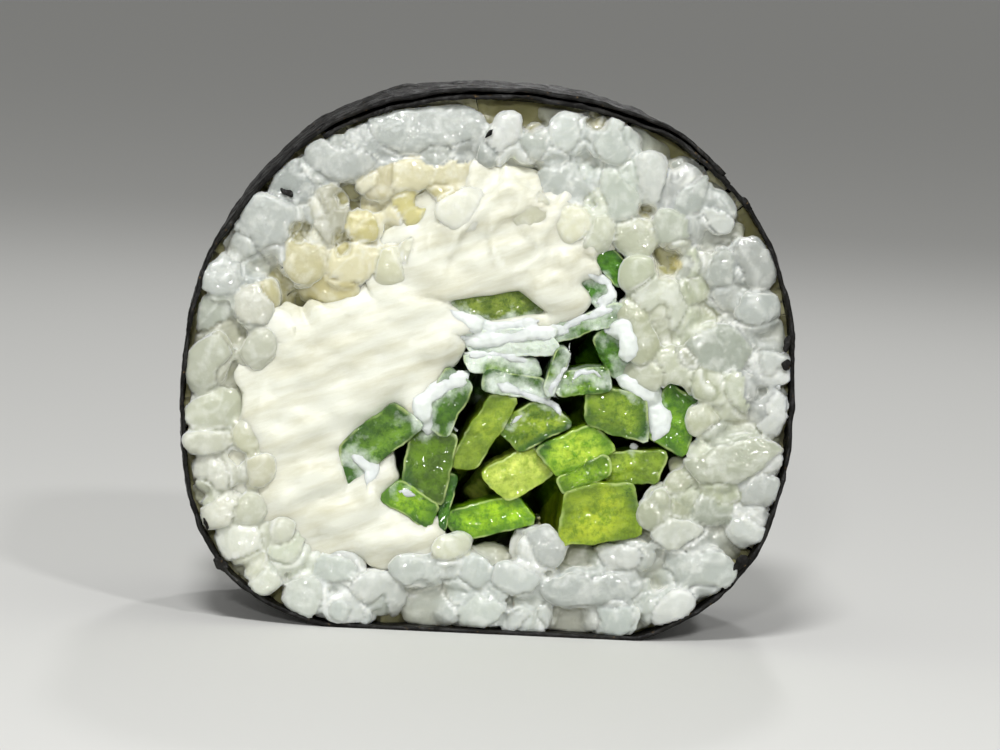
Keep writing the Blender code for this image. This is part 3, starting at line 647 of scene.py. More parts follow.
def settle(grains, steps, press=0.9):
    """Let the grains push each other apart: x, z, length, width and turn of each, as arrays."""
    x, z, length, width, turn = np.array(grains, float).T
    centre, turn = np.column_stack((x, z)), np.radians(turn)
    reach = np.outer(length / 2 - 0.42 * width, (-1, 0, 1))
    radius = np.outer(width, (0.4, 0.5, 0.4)).ravel()
    owner = np.repeat(np.arange(len(grains)), 3)
    other = owner[:, None] != owner[None]
    for _ in range(steps):
        arm = reach[:, :, None] * np.column_stack((np.cos(turn), np.sin(turn)))[:, None]
        discs = (centre[:, None] + arm).reshape(-1, 2)
        apart = discs[:, None] - discs[None]
        distance = np.linalg.norm(apart, axis=2) + 1e-6
        overlap = press * (radius[:, None] + radius[None]) - distance
        push = np.where(other & (overlap > 0), overlap / distance, 0)[:, :, None] * apart
        push = push.sum(axis=1) / 2
        _, out, inner, outer = bearing_and_reach(discs)
        short = np.clip(inner + radius * 0.8 - out, 0, None) - np.clip(out + radius - outer, 0, None)
        push += 1.5 * short[:, None] * (discs - MIDDLE) / out[:, None]
        push = push.reshape(-1, 3, 2)
        twist = (arm[:, :, 0] * push[:, :, 1] - arm[:, :, 1] * push[:, :, 0]).sum(axis=1)
        centre = centre + 0.1 * push.sum(axis=1)
        turn = turn + 0.2 * twist / (2 * reach[:, 2] ** 2 + 1.0)
    return centre, length, width, turn


# %% [markdown]
# ## Rice: the shape of a grain
# A cooked grain is a blunt ellipsoid, fuller than an egg towards its ends. The tree makes one and
# puts a turned and scaled copy on each point. Seen in the cut face, a short grain is really a
# whole one that leans away from the viewer, so it gets the lean that makes it look that short.

# %% Grain tree
tree, start = start_tree("laid_grains", Segments=32, Rings=20, Bluntness=0.12)
ball = add(tree, "GeometryNodeMeshUVSphere", {"Segments": start.outputs["Segments"],
                                              "Rings": start.outputs["Rings"], "Radius": 0.5})
place = add(tree, "GeometryNodeInputPosition").outputs[0]
spot = add(tree, "ShaderNodeSeparateXYZ", {0: place})
half = calc(tree, "ABSOLUTE", spot.outputs["Z"])
along = calc(tree, "MULTIPLY", half, 2.0)
rest = calc(tree, "SUBTRACT", 1.0, along)
hump = calc(tree, "MULTIPLY", along, rest)
swell = calc(tree, "MULTIPLY", start.outputs["Bluntness"], 4.0)
fuller = calc(tree, "MULTIPLY_ADD", hump, swell, 1.0)
stretch = add(tree, "ShaderNodeCombineXYZ", {"X": fuller, "Y": fuller, "Z": 1.0})
shape = add(tree, "ShaderNodeVectorMath", {0: place, 1: stretch}, operation="MULTIPLY")
grain = add(tree, "GeometryNodeSetPosition", {"Geometry": ball.outputs["Mesh"], "Position": shape})
turned = add(tree, "GeometryNodeInputNamedAttribute", {"Name": "turned"}, data_type="FLOAT_VECTOR")
size = add(tree, "GeometryNodeInputNamedAttribute", {"Name": "size"}, data_type="FLOAT_VECTOR")
laid = add(tree, "GeometryNodeInstanceOnPoints", {"Points": start.outputs["Geometry"],
                                                  "Instance": grain, "Rotation": turned,
                                                  "Scale": size})
finish_tree(tree, start, laid.outputs[0])
grain_tree = tree

# %% [markdown]
# ## Rice: pressed, cut and wet
# Three things make a heap of ellipsoids look like sushi rice. The grains are pressed, so their
# touching sides are flat and meet half way. The knife has cut the face, so most grains end in a
# flat there, each at a slightly different depth with a rounded edge. And every grain is a little
# lumpy. All three are moves of points along or against the grain's own surface.

# %% Shaping the grains
FULL_GRAIN = 6.6                   # length of a whole cooked grain
SWELL = 1.1                        # pressed grains are larger than their free room
GRAINS_END = 6.9                   # from here inwards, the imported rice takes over


def shape_grains(laid, side, seed, depth_share, knife, segments, rings, slack):
    """Grains in one cut face: their mesh, and their places, sizes and frames as arrays."""
    centre, length, width, turn = laid
    rng = np.random.default_rng(seed)
    count = len(length)
    full = np.minimum(length * rng.uniform(1.0, 1.3, count), np.maximum(FULL_GRAIN, length))
    seen = np.clip(length ** 2 - width ** 2, 0, None) / (full ** 2 - width ** 2 + 1e-6)
    lean = rng.choice((-1, 1), count) * np.arccos(np.sqrt(np.clip(seen, 0, 1)))
    deep = np.hypot(full * np.sin(lean), width * np.cos(lean)) / 2
    y = side * (FACE - np.minimum(deep * rng.uniform(*depth_share, count), 2.9))
    turns = []
    for k in range(count):
        turns.append(Matrix.Rotation(-turn[k], 3, "Y") @ Matrix.Rotation(lean[k], 3, "Z")
                     @ Matrix.Rotation(math.pi / 2, 3, "Y"))
    places = np.column_stack((centre[:, 0], y, centre[:, 1]))
    sizes = SWELL * np.column_stack((width, width * rng.uniform(0.85, 1.0, count), full))
    points = bpy.data.meshes.new("grain_points")
    points.from_pydata((places * MM).tolist(), [], [])
    for name, values in (("turned", [list(turned.to_euler()) for turned in turns]),
                         ("size", sizes * MM)):
        stored = points.attributes.new(name, "FLOAT_VECTOR", "POINT")
        stored.data.foreach_set("vector", np.array(values, np.float32).ravel())
    mesh = run_tree(grain_tree, points, Segments=segments, Rings=rings)
    cloud = points_of(mesh).reshape(count, -1, 3)
    frames = np.array([[list(row) for row in turned] for turned in turns])
    local = np.einsum("gpi,gij->gpj", cloud - places[:, None], frames)
    slope = local / sizes[:, None] ** 2
    outward = np.einsum("gpj,gij->gpi", slope, frames)
    outward /= np.linalg.norm(outward, axis=2, keepdims=True) + 1e-9
    lumps = wobble(local.reshape(-1, 3) + np.repeat(np.arange(count) * 9.7, cloud.shape[1])[:, None],
                   1.5, seed, (1, 1, 0.6)).reshape(count, -1)
    bends = wobble(cloud.reshape(-1, 3), 3.0, seed + 1).reshape(count, -1)
    cloud = cloud + outward * (0.16 * lumps + 0.25 * bends)[:, :, None]
    cloud = press_together(cloud, outward, places, sizes, frames)
    cloud = keep_in_ring(cloud, slack)
    recess = rng.uniform(*knife, count)
    tilt = rng.uniform(-0.12, 0.12, (count, 2))
    rounding = rng.uniform(0.35, 1.1, count)[:, None]
    aside = cloud[..., (0, 2)] - places[:, None][..., (0, 2)]
    limit = FACE - recess[:, None] + np.einsum("gpi,gi->gp", aside, tilt)
    limit = np.minimum(limit, FACE + 0.1)
    room = (limit - side * cloud[..., 1]) / rounding
    soft = limit - rounding * (np.log1p(np.exp(-np.abs(room))) + np.maximum(room, 0))
    cloud[..., 1] = side * np.maximum(soft, GRAINS_END)
    move_points(mesh, cloud.reshape(-1, 3))
    return mesh, places, sizes, frames


def press_together(cloud, outward, places, sizes, frames):
    """Flatten each grain where it reaches into a neighbour, so that both meet half way."""
    pushed = np.zeros(cloud.shape[:2])
    longest = sizes.max(axis=1)
    for i in range(len(places)):
        near = np.linalg.norm(places - places[i], axis=1) < (longest + longest[i]) / 2
        near[i] = False
        for j in np.flatnonzero(near):
            local = (cloud[i] - places[j]) @ frames[j]
            measure = 2 * np.sqrt(((local / sizes[j]) ** 2).sum(axis=1)) + 1e-6
            distance = np.linalg.norm(local, axis=1) * (1 - 1 / measure)
            into = 0.06 - distance
            into = (into + np.sqrt(into ** 2 + 0.01)) / 2
            pushed[i] = np.maximum(pushed[i], into / 2)
    pushed = np.minimum(pushed, 0.4 * sizes[:, :1])
    return cloud - outward * pushed[:, :, None]


# %% [markdown]
# ## Rice material
# Cooked rice is translucent: light enters a grain, scatters and leaves near by, so it has no hard
# shadows and its thin rims look whiter than its middle. Subsurface scattering over about a
# millimetre gives the soft shading, and the whiter rims are a painted highlight: a paler colour
# where the surface turns away from the cut face. The grains are wet and sticky, so a thin clear
# coat with fine bumps adds sparkles. Each grain has its own tone, stored on the mesh: cooler near
# the nori, warmer by the filling.

# %% Rice material
RICE_MILK_AND_HIGHLIGHT, RICE_PIT_SHADE = "FAFCF6", "A09A60"
rice, tree, shader = start_material("sushi_rice", IOR=1.4, Roughness=0.3,
                                    Subsurface_Weight=0.6, Subsurface_Scale=0.8 * MM,
                                    Subsurface_Radius=(1.0, 0.95, 0.8), Coat_Weight=1.0,
                                    Coat_Roughness=0.04, Transmission_Weight=0.22)
coordinates = add(tree, "ShaderNodeTexCoord")
place = coordinates.outputs["Object"]
facing = add(tree, "ShaderNodeSeparateXYZ", {0: coordinates.outputs["Normal"]})
square = calc(tree, "ABSOLUTE", facing.outputs["Y"])
# Painted highlight: the rims of the grains are paler where the surface turns away from the cut face
rim = ramp(tree, square, 0.72, 0.3, at_high=0.95)
film = painted(tree, "film")
starch = texture(tree, place, 0.9, 5.0)
cloudy = ramp(tree, starch, 0.48, 0.68, at_high=0.35)
# Real starch clouds and folds, and the painted highlights of rims and lips, whiten the tone
pasty = calc(tree, "MULTIPLY", film, 0.8)
milky = calc(tree, "MAXIMUM", rim, cloudy)
starch_and_highlight = calc(tree, "MAXIMUM", milky, pasty)
tone = painted(tree, "tone", "Color")
pale = blend(tree, starch_and_highlight, tone, linear(RICE_MILK_AND_HIGHLIGHT))
# Painted shade: the darker olive of the pits between and behind the grains
pit = painted(tree, "pit")
colour = blend(tree, pit, pale, linear(RICE_PIT_SHADE))
skin = texture(tree, place, 0.5, 3.0)
bump = bumps(tree, skin, 0.4, 0.08)
drops = add(tree, "ShaderNodeTexVoronoi", {"Vector": place, "Scale": PER_MM / 0.4,
                                           "Smoothness": 0.5}, feature="SMOOTH_F1")
wet = ramp(tree, starch, 0.42, 0.6, 0.3)
beads = bumps(tree, drops.outputs["Distance"], wet, 0.3, Normal=bump)
connect(tree, shader, {"Base Color": colour, "Normal": bump, "Coat Normal": beads})
print("material:", rice.name)

# %% [markdown]
# ## Rice: a tone for each grain
# A grain's place gives its tone: cool near the nori, warm at the upper left and greenish at the
# right towards the filling, creamy on the left and in the cheese. Grains at the lower left and the
# upper right are lightened, which is painted light. A little chance on top keeps two neighbours
# from ever being quite alike.

# %% Rice tones
COOL, WARM, GREENISH, CREAMY = "ACB2AC", "D0C78A", "BFC598", "CDCEB2"


def tone_of(centres, seed):
    """Each grain's colour: cool near the nori, warm or green near the filling."""
    rng = np.random.default_rng(seed)
    bearing, reach, inner, outer = bearing_and_reach(centres)
    depth = np.clip((outer - reach) / (outer - inner), 0, 1)
    degrees = np.degrees(bearing)
    upper_left = ease(degrees, 95, 115) * (1 - ease(degrees, 160, 175))
    right = ease(degrees, -50, -30) * (1 - ease(degrees, 45, 60))
    left = np.maximum(ease(degrees, 165, 178), 1 - ease(degrees, -140, -120))
    by_filling = ease(depth, 0.3, 0.75)
    tones = np.tile(linear(COOL)[:3], (len(centres), 1))
    for colour, share in ((WARM, upper_left * by_filling), (GREENISH, right * by_filling * 0.6),
                          (CREAMY, left * 0.6)):
        tones += (np.array(linear(colour)[:3]) - tones) * share[:, None]
    in_filling = ease(inner - reach, -0.5, 1.0)[:, None] * (1 - right)[:, None]
    tones += (np.array(linear(CREAMY)[:3]) - tones) * in_filling
    tones *= rng.uniform(0.9, 1.08, (len(centres), 1)) * rng.uniform(0.985, 1.01, (len(centres), 3))
    # Painted light: grains at the lower left and the upper right are made lighter
    painted_light_lower_left = (1 - ease(centres[:, 1], 3.0, 9.0)) * (1 - 0.55 * ease(centres[:, 0], 3.0, 12.0))
    painted_light_upper_right = 1 - ease(np.linalg.norm(centres - (6.5, 33.5), axis=1), 2.5, 6.0)
    tones *= 1 + (0.36 * painted_light_lower_left + 0.32 * painted_light_upper_right)[:, None]
    milky = rng.uniform(0, 1, (len(centres), 1)) ** 3 * 0.5
    tones += (np.array(linear(RICE_MILK_AND_HIGHLIGHT)[:3]) - tones) * milky
    return np.clip(tones, 0, 1)


# %% [markdown]
# ## Rice: fused by its own starch
# Starch glues the grains together, and where two touch there is a soft seam and no dark gap, with a
# thin pale lip beside it that is a painted highlight.
# So the grains of a face, the cut ones and the deeper ones behind them, are joined and get one
# skin by a voxel remesh. The skin no longer knows the grains, so each of its points looks for
# the nearest two: the nearest gives the tone, and where both are equally near runs a seam.

# %% Fusing the grains
SEAM_WIDTH, SEAM_DEPTH = 0.55, 0.26          # of the soft valley between two grains, mm
FILM_HEIGHT = 0.06                           # of the folds of starch on the grains, mm


def nearest_grains(points, places, sizes, frames):
    """For each point, the nearest grain, its distance and that of the second nearest, in mm."""
    best, second = np.full(len(points), FAR), np.full(len(points), FAR)
    owner = np.zeros(len(points), int)
    for k, place in enumerate(places):
        close = np.flatnonzero(np.linalg.norm(points - place, axis=1) < sizes[k].max())
        local = (points[close] - place) @ frames[k]
        measure = 2 * np.sqrt(((local / sizes[k]) ** 2).sum(axis=1)) + 1e-6
        distance = np.linalg.norm(local, axis=1) * (1 - 1 / measure)
        nearer = distance < best[close]
        second[close] = np.where(nearer, best[close], np.minimum(second[close], distance))
        owner[close[nearer]] = k
        best[close[nearer]] = distance[nearer]
    return owner, best, second


def fuse_grains(name, layers, seed, side):
    """Join layers of grains into one skin, colour it and put it in the scene."""
    skin = remeshed(joined([layer[0] for layer in layers], name), RICE_VOXEL, 2)
    places, sizes, frames = (np.concatenate([layer[k] for layer in layers]) for k in (1, 2, 3))
    points = points_of(skin)
    owner, best, second = nearest_grains(points, places, sizes, frames)
    cut = len(layers[0][1])
    _, first_cut, second_cut = nearest_grains(points, places[:cut], sizes[:cut], frames[:cut])
    apart = np.where(owner < cut, second_cut - first_cut, second - best)
    seam = 1 - ease(apart, 0.0, SEAM_WIDTH)
    # Painted highlight: a thin pale lip beside each seam, raised a little and painted into the film
    lip_highlight = ease(apart, 0.1, 0.25) * (1 - ease(apart, 0.3, 0.5))
    lip_highlight = lip_highlight * ease(wobble(points, 1.6, seed + 7), -0.2, 0.35)
    folds = np.maximum(lip_highlight, 0.35 * ridges(points, 2.4, seed, 0.07))
    fine = 0.05 * wobble(points, 0.6, seed) + 0.03 * wobble(points, 0.3, seed + 1)
    points = points + normals_of(skin) * (fine + FILM_HEIGHT * folds - SEAM_DEPTH * seam)[:, None]
    points[:, 1] = np.clip(points[:, 1], -FACE - 0.1, FACE + 0.1)
    tones = tone_of(places[:, (0, 2)], seed)[owner]
    # Painted shade in the hollows; a negative depth raises a yellow bit in its own colour instead
    for x, z, size, depth, colour in HOLLOWS if side == -1 else ():
        away = np.linalg.norm(points[:, (0, 2)] - (x, z), axis=1)
        away += size * (0.5 * wobble(points * (1, 0, 1), 1.1, 1) + 0.2 * wobble(points, 0.4, 2))
        share = (1 - ease(away, 0.6 * size, size)) * ease(-points[:, 1], 7.4, 8.2)
        points[:, 1] += depth * share
        tones += (np.array(linear(colour)[:3]) - tones) * 0.85 * share[:, None]
    move_points(skin, held_in_nori(points, 0.8, False))
    paint(skin, "tone", tones)
    # The film holds the real starch folds and the painted highlight of the lips
    paint(skin, "film", folds)
    # Painted shade: the pit colour grows with depth behind the cut face, fuller on the deeper grains
    deep = owner >= cut
    below = FACE - side * points[:, 1]
    paint(skin, "pit", 0.5 * ease(below, 0.9, 2.6) * np.where(deep, 1.0, 0.5))
    put(name, skin, ["rice"], rice)


# %% [markdown]
# ## Rice: both cut faces
# Each face has two layers: the cut grains that show, and whole ones behind them that fill the gaps.
# The front has a third, of grains half sunk in the cheese. Small hollows, where a grain has fallen
# out, are pressed into the skin last and get a painted shade, the warm colour of the shade between
# grains; one small yellow bit is raised the same way in its own colour.

# %% Front and back grains
RICE_VOXEL = 0.2
# For each layer: the depth of a grain's middle as a share of its size, how far behind the face
# the knife has cut it in mm, its divisions round and along, and how far it may leave the ring
CUT_LAYER = ((0.5, 0.95), (0.0, 0.5), 36, 22, 0.8)
DEEP_LAYER = ((0.9, 1.1), (1.0, 1.9), 20, 12, 0.8)
SUNK_LAYER = ((0.6, 0.75), (0.0, 0.12), 30, 18, FAR)
DEEP_GRAINS, DEEP_PRESS = 78, 0.8
FRONT_STEPS, BACK_STEPS = 40, 120  # of settling: few in front, to stay near the table
# Hollows between the grains of the front face: x, z, radius, depth and colour, which is painted
# shade; the second, with a negative depth, is a raised yellow bit in its own colour
HOLLOWS = ((12.1, 26.9, 1.2, 0.9, "AEAA6E"), (12.6, 26.6, 0.55, -0.5, "DCC850"),
           (-10.6, 30.2, 0.9, 1.0, "A09A62"), (-13.6, 27.4, 1.0, 0.8, "A8A26A"),
           (-10.6, 26.9, 1.0, 0.9, "B3AA66"), (-5.2, 30.1, 0.7, 0.5, "B5AE78"),
           (2.1, 36.0, 0.9, 0.9, "A8A272"), (6.6, 36.2, 0.8, 0.9, "A09B6E"),
           (10.2, 30.0, 0.8, 0.9, "A6A068"))
x, z, length, width, turn = np.array(SUNK_GRAINS, float).T
sunk = (np.column_stack((x, z)), length, width, np.radians(turn))
for name, side, seed, laid in (
        ("rice_front", -1, 11, settle(FRONT_GRAINS, FRONT_STEPS)),
        ("rice_back", 1, 28, settle(grains_in_ring(np.random.default_rng(27), BACK_GRAINS),
                                    BACK_STEPS))):
    layers = [shape_grains(laid, side, seed, *CUT_LAYER)]
    behind = grains_in_ring(np.random.default_rng(seed + 30), DEEP_GRAINS)
    behind = settle(behind, BACK_STEPS, DEEP_PRESS)
    layers.append(shape_grains(behind, side, seed + 1, *DEEP_LAYER))
    if side == -1:
        layers.append(shape_grains(sunk, side, seed + 2, *SUNK_LAYER))
    fuse_grains(name, layers, seed, side)

# %% [markdown]
# ## Rice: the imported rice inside
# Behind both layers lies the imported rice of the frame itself. Its faceted grains are melted into
# one smooth skin by a voxel remesh and drawn in a little, so that they only close what is left,
# and its outer side swells out to the nori.

# %% Packed rice
CORE_LIMIT = 7.9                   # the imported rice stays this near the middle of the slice
CORE_VOXEL, DRAWN_IN = 0.5, 0.45   # mm
BY_NORI = 1.6                      # rice this near the nori swells out to it, mm
PACKED_SHADE_TONE = "CFCFA8"             # in the shade between the grains
core = remeshed(rice_solid, CORE_VOXEL, 5)
places = points_of(core)
move_points(core, places - DRAWN_IN * normals_of(core))
places = points_of(core)
places[:, 1] = np.clip(places[:, 1], -CORE_LIMIT, CORE_LIMIT)
move_points(core, held_in_nori(places, BY_NORI, True))
# Painted shade: the packed rice gets the tone it has in the shade between the grains, and more of the
# pit colour deeper behind the cut faces
paint(core, "tone", np.tile(linear(PACKED_SHADE_TONE)[:3], (len(places), 1)))
paint(core, "film", np.zeros(len(places)))
paint(core, "pit", 0.4 + 0.4 * ease(FACE - np.abs(places[:, 1]), 1.0, 3.0))
put("rice_core", core, ["rice"], rice)

# %% [markdown]
# ## Cream cheese
# Fresh cheese is soft and dense: it keeps the streaks of the knife that smeared it, and its edges
# are round lips. The frame's solid gives the form. A voxel remesh rounds all its facets, then the
# points swell out to meet the rice and the strips. Noise stretched along the smear makes the
# streaks, which is the same noise as before with one direction scaled down.

# %% Cheese material
STREAK_TILT = 20.0                 # the knife went up to the right at this angle, degrees
CHEESE_PALE, CHEESE_SHADE, CHEESE_WIPED = "DADBCE", "C6C4AE", "D8DFDB"
cheese, tree, shader = start_material("fresh_cream_cheese", IOR=1.4, Roughness=0.42,
                                      Subsurface_Weight=0.6, Subsurface_Scale=0.9 * MM,
                                      Subsurface_Radius=(1.0, 1.0, 0.85), Coat_Weight=0.15,
                                      Coat_Roughness=0.25)
place = add(tree, "ShaderNodeTexCoord").outputs["Object"]
smear = add(tree, "ShaderNodeMapping", {"Vector": place,
                                        "Rotation": (0, math.radians(-STREAK_TILT), 0),
                                        "Scale": (7.0, 1.0, 1.0)}, vector_type="TEXTURE")
streaks = texture(tree, smear, 0.9, 8.0, Roughness=0.6)
crumb = texture(tree, place, 0.25, 4.0)
# Painted shade: the streaks are darker along the same noise that raises their relief
shade = ramp(tree, streaks, 0.4, 0.7)
body = blend(tree, shade, linear(CHEESE_PALE), linear(CHEESE_SHADE))
wiped = painted(tree, "wiped")
colour = blend(tree, wiped, body, linear(CHEESE_WIPED))
drawn = bumps(tree, streaks, 0.5, 0.16)
grainy = bumps(tree, crumb, 0.25, 0.03, Normal=drawn)
connect(tree, shader, {"Base Color": colour, "Normal": grainy})
print("material:", cheese.name)

# %% [markdown]
# The block creeps out over the rice by an uneven amount, as soft cheese does under the knife. The
# streaks are real relief on the cut faces only, and its upper right edge is torn into thin lips.

# %% Cheese block
BLOCK_VOXEL = 0.3
block = remeshed(merged_copy("cream_cheese"), BLOCK_VOXEL, 5)
places, out = points_of(block), normals_of(block)
_, reach, inner, _ = bearing_and_reach(places[:, (0, 2)])
by_rice = ease(reach, inner - 1.6, inner - 0.4) * ease(np.abs(places[:, 1]), 6.0, 8.5)
ragged = wobble(places, 3.0, 8) + 0.5 * wobble(places, 1.1, 9)
creep = 0.28 + by_rice * np.clip(0.8 + 1.5 * ragged, 0, 1.8)
places = places + out * np.column_stack((creep, 0.05 - 0.4 * by_rice, creep))
tilt = math.radians(STREAK_TILT)
along = places[:, 0] * math.cos(tilt) + places[:, 2] * math.sin(tilt)
aside = places[:, 2] * math.cos(tilt) - places[:, 0] * math.sin(tilt)
drawn = np.column_stack((along * 0.22, places[:, 1] * 0.5, aside))
facing = ease(np.abs(out[:, 1]), 0.3, 0.9)
streaks = 0.22 * wobble(drawn, 2.2, 3) + 0.1 * wobble(drawn, 0.8, 4)
lumps = 0.12 * wobble(places, 1.6, 5)
torn = ease(places[:, 2], 23.5, 26.5) * ease(places[:, 0], -6.0, -3.0)
lumps += torn * (0.3 * ridges(places, 2.2, 6, 0.3) - 0.15 + 0.1 * wobble(places, 0.7, 7))
places = places + out * (streaks * facing + lumps)[:, None]
places[:, 1] = np.clip(places[:, 1], -FACE, FACE)
move_points(block, places)
put("cream_cheese_block", block, ["cream_cheese"], cheese)

# %% [markdown]
# ## Cream cheese: where the knife smeared it
# The knife drags a little cheese over the strips: a thin film on some, and a few thick ribbons.
# Each smear is a line in the cut face. The strips are coloured with a white film along these
# lines first, and the thick part of each smear is laid on top of them afterwards.

# %% Smear lines
# Width in mm, and the line's points in the cut face as x and z
SMEARS = (
    (0.8, ((-3.0, 22.6), (-1.7, 21.8), (0.2, 21.5), (3.3, 22.1))),
    (0.8, ((-2.2, 20.8), (-1.4, 20.4), (0.8, 20.8), (2.9, 21.3), (5.5, 21.5))),
    (0.5, ((-1.9, 19.5), (0.8, 19.6), (3.0, 19.2))),
    (0.4, ((5.6, 20.6), (5.4, 19.3), (4.2, 17.3), (5.0, 16.5))),
    (0.5, ((0.4, 17.7), (2.3, 17.0), (4.8, 16.2), (5.4, 14.9))),
    (0.5, ((5.5, 17.7), (6.2, 18.6), (7.3, 18.8), (8.0, 18.2))),
    (1.4, ((9.0, 18.4), (10.3, 17.9), (11.5, 16.9), (12.3, 15.3), (11.8, 14.2))),
    (1.3, ((8.0, 21.6), (9.3, 22.0), (9.7, 20.6), (9.3, 19.5))),
    (0.7, ((6.4, 25.6), (7.8, 25.1), (8.4, 24.1), (7.1, 23.4))),
    (0.6, ((4.5, 21.3), (6.6, 22.6), (8.7, 23.3))),
    (1.2, ((-1.5, 18.1), (-3.4, 17.2), (-4.7, 16.0), (-4.0, 13.9))),
    (0.6, ((-2.3, 14.4), (-2.0, 14.1))),
    (0.5, ((-4.3, 13.7), (-3.9, 13.5))),
    (1.2, ((10.3, 13.6), (10.5, 13.5))),
    (0.5, ((2.6, 15.6), (1.6, 14.7))),
    (0.8, ((-6.0, 9.7), (-4.6, 9.5))),
    (0.8, ((-9.3, 12.1), (-7.8, 11.2), (-8.2, 9.6))),
)


def along_line(line, step=0.1):
    """Points every 0.1 mm along a line of a smear, and how far along it each one lies."""
    line = np.array(line, float)
    length = np.concatenate(((0,), np.cumsum(np.linalg.norm(np.diff(line, axis=0), axis=1))))
    where = np.arange(0, length[-1], step)
    return np.column_stack([np.interp(where, length, line[:, k]) for k in (0, 1)]), where


def film_points(width, line):
    """Points along a smear, each with half the smear's width."""
    xz, _ = along_line(line)
    return np.column_stack((xz, np.full(len(xz), width / 2)))


FILMED = np.vstack([film_points(width, line) for width, line in SMEARS])
print("smears:", len(SMEARS), " points along them:", len(FILMED))


def film_near(places, reach=0.8):
    """How much cheese is wiped on each place: 1 on a smear, 0 beyond its reach."""
    away = np.linalg.norm(places[:, None, (0, 2)] - FILMED[None, :, :2], axis=2) - FILMED[:, 2]
    return (1 - ease(away.min(axis=1), 0.0, reach)) * ease(-places[:, 1], 7.0, 8.5)


# %% [markdown]
# ## Cucumber strips
# The strips are cut from a cucumber lengthwise: most are pale wet flesh, and a few carry a side
# of dark green skin. The frame gives each strip's outline and the slopes of both cut ends. The
# outline is rounded a little, then drawn along the slice in rings, and the same rings shrink over
# each end, which gives the cut a rounded edge and room for its fine relief.

# %% Cucumber material
EDGE_PALE, FILM_WHITE = "C6D58C", "DCE6DA"
cucumber, tree, shader = start_material("cucumber_flesh", IOR=1.38, Roughness=0.3,
                                        Subsurface_Weight=0.25, Subsurface_Scale=0.35 * MM,
                                        Subsurface_Radius=(0.7, 1.0, 0.3), Coat_Weight=0.5,
                                        Coat_Roughness=0.08)
place = add(tree, "ShaderNodeTexCoord").outputs["Object"]
flesh = painted(tree, "flesh", "Color")
deep = painted(tree, "deep", "Color")
edge = painted(tree, "edge")
film = painted(tree, "film")
cells = texture(tree, place, 0.7, 9.0, Roughness=0.78)
mottled = ramp(tree, cells, 0.44, 0.6)
body = blend(tree, mottled, flesh, deep)
outlined = blend(tree, edge, body, linear(EDGE_PALE))
patchy = texture(tree, place, 1.1, 6.0, Roughness=0.6)
spread = calc(tree, "ADD", patchy, film)
smeared = ramp(tree, spread, 0.85, 1.25, at_high=0.9)
colour = blend(tree, smeared, outlined, linear(FILM_WHITE))
bump = bumps(tree, cells, 0.8, 0.22)
connect(tree, shader, {"Base Color": colour, "Normal": bump})
print("material:", cucumber.name)

# %% [markdown]
# ## Cucumber: no two strips alike
# A strip from the seedy middle is pale and wet, and one from under the skin is a deep green. So
# each strip has a row with both of its greens, its share of cheese and the side that its skin is on.
# The greens are also lighter or darker as the light falls on each strip's cut end: painted light
# and shade.

# %% Strip looks
# For each strip: its flesh, its deeper green, how much cheese films it (0 to 1), and the way
# its skin faces in degrees, with none on most
# Greens: the strip's own colour, lighter or darker with painted light and shade
STRIP_LOOKS = (
    ("7F9444", "557222", 0.25, None), ("6F9560", "4C7A35", 0.6, None),
    ("7AA055", "4C7A35", 0.45, None), ("5B8A20", "3F6F10", 0.3, 110),
    ("5D9A10", "3D7A05", 0.15, 60), ("3F7A10", "2D6008", 0.25, 180),
    ("5F9622", "3A6E10", 0.2, None), ("6F9A2A", "3F6F10", 0.25, None),
    ("6A9040", "3F6F18", 0.35, None), ("55803A", "3F6A20", 0.4, 90),
    ("96AF44", "88A63A", 0.1, None), ("9CB63C", "648A0C", 0.1, -60),
    ("8CAA3C", "5C8418", 0.1, -30), ("6FA010", "4D8408", 0.05, 0),
    ("BADA58", "7CB41C", 0.05, 170), ("DCEC9C", "BCD672", 0.0, None),
    ("9DBA4A", "77982A", 0.05, None), ("B6CA42", "8EAE20", 0.0, 45),
    ("A2D020", "74AE0C", 0.0, 200), ("8FB828", "6A960C", 0.0, None),
    ("4F8A18", "35700C", 0.05, 0), ("638A18", "527412", 0.1, 200),
    ("6D9A30", "3F6F10", 0.3, 225), ("5A8A20", "3D6D10", 0.2, 120),
    ("8FBC2E", "639A1A", 0.05, 250),
)
SKIN_GREEN = "2F5E0E"
WET = (0.75, 0.8, 0.26)            # wet flesh is deeper and yellower than it is dry
PALE = (1.03, 0.99, 0.48)          # and its seedy middle is paler
print("strips:", len(STRIP_LOOKS))

# %% [markdown]
# ## Cucumber: drawing a strip
# Both cut ends of a strip are planes through the frame's corners there, and the bends between them
# are read from the frame too. Rings of the same outline run from end to end, so the strip keeps
# its place and its slopes, and small relief makes the wet cells of the cut stand out.

# %% Drawing a strip
RING = 80                          # points round a strip
ROUNDING = 0.1                     # of the cut edge, mm
CORNER = 0.08                      # how far the outline's corners are rounded, mm
GROWN = 0.33                       # wet strips swell until they touch, mm
CAP_RINGS, EDGE_RINGS, BODY_RINGS = 12, 5, 16
CUT_END = 5.01                     # corners with a larger y than this belong to a cut end
BENDS = (-5, -2, 2, 5)             # y of the bends where the strips wander inside the slice


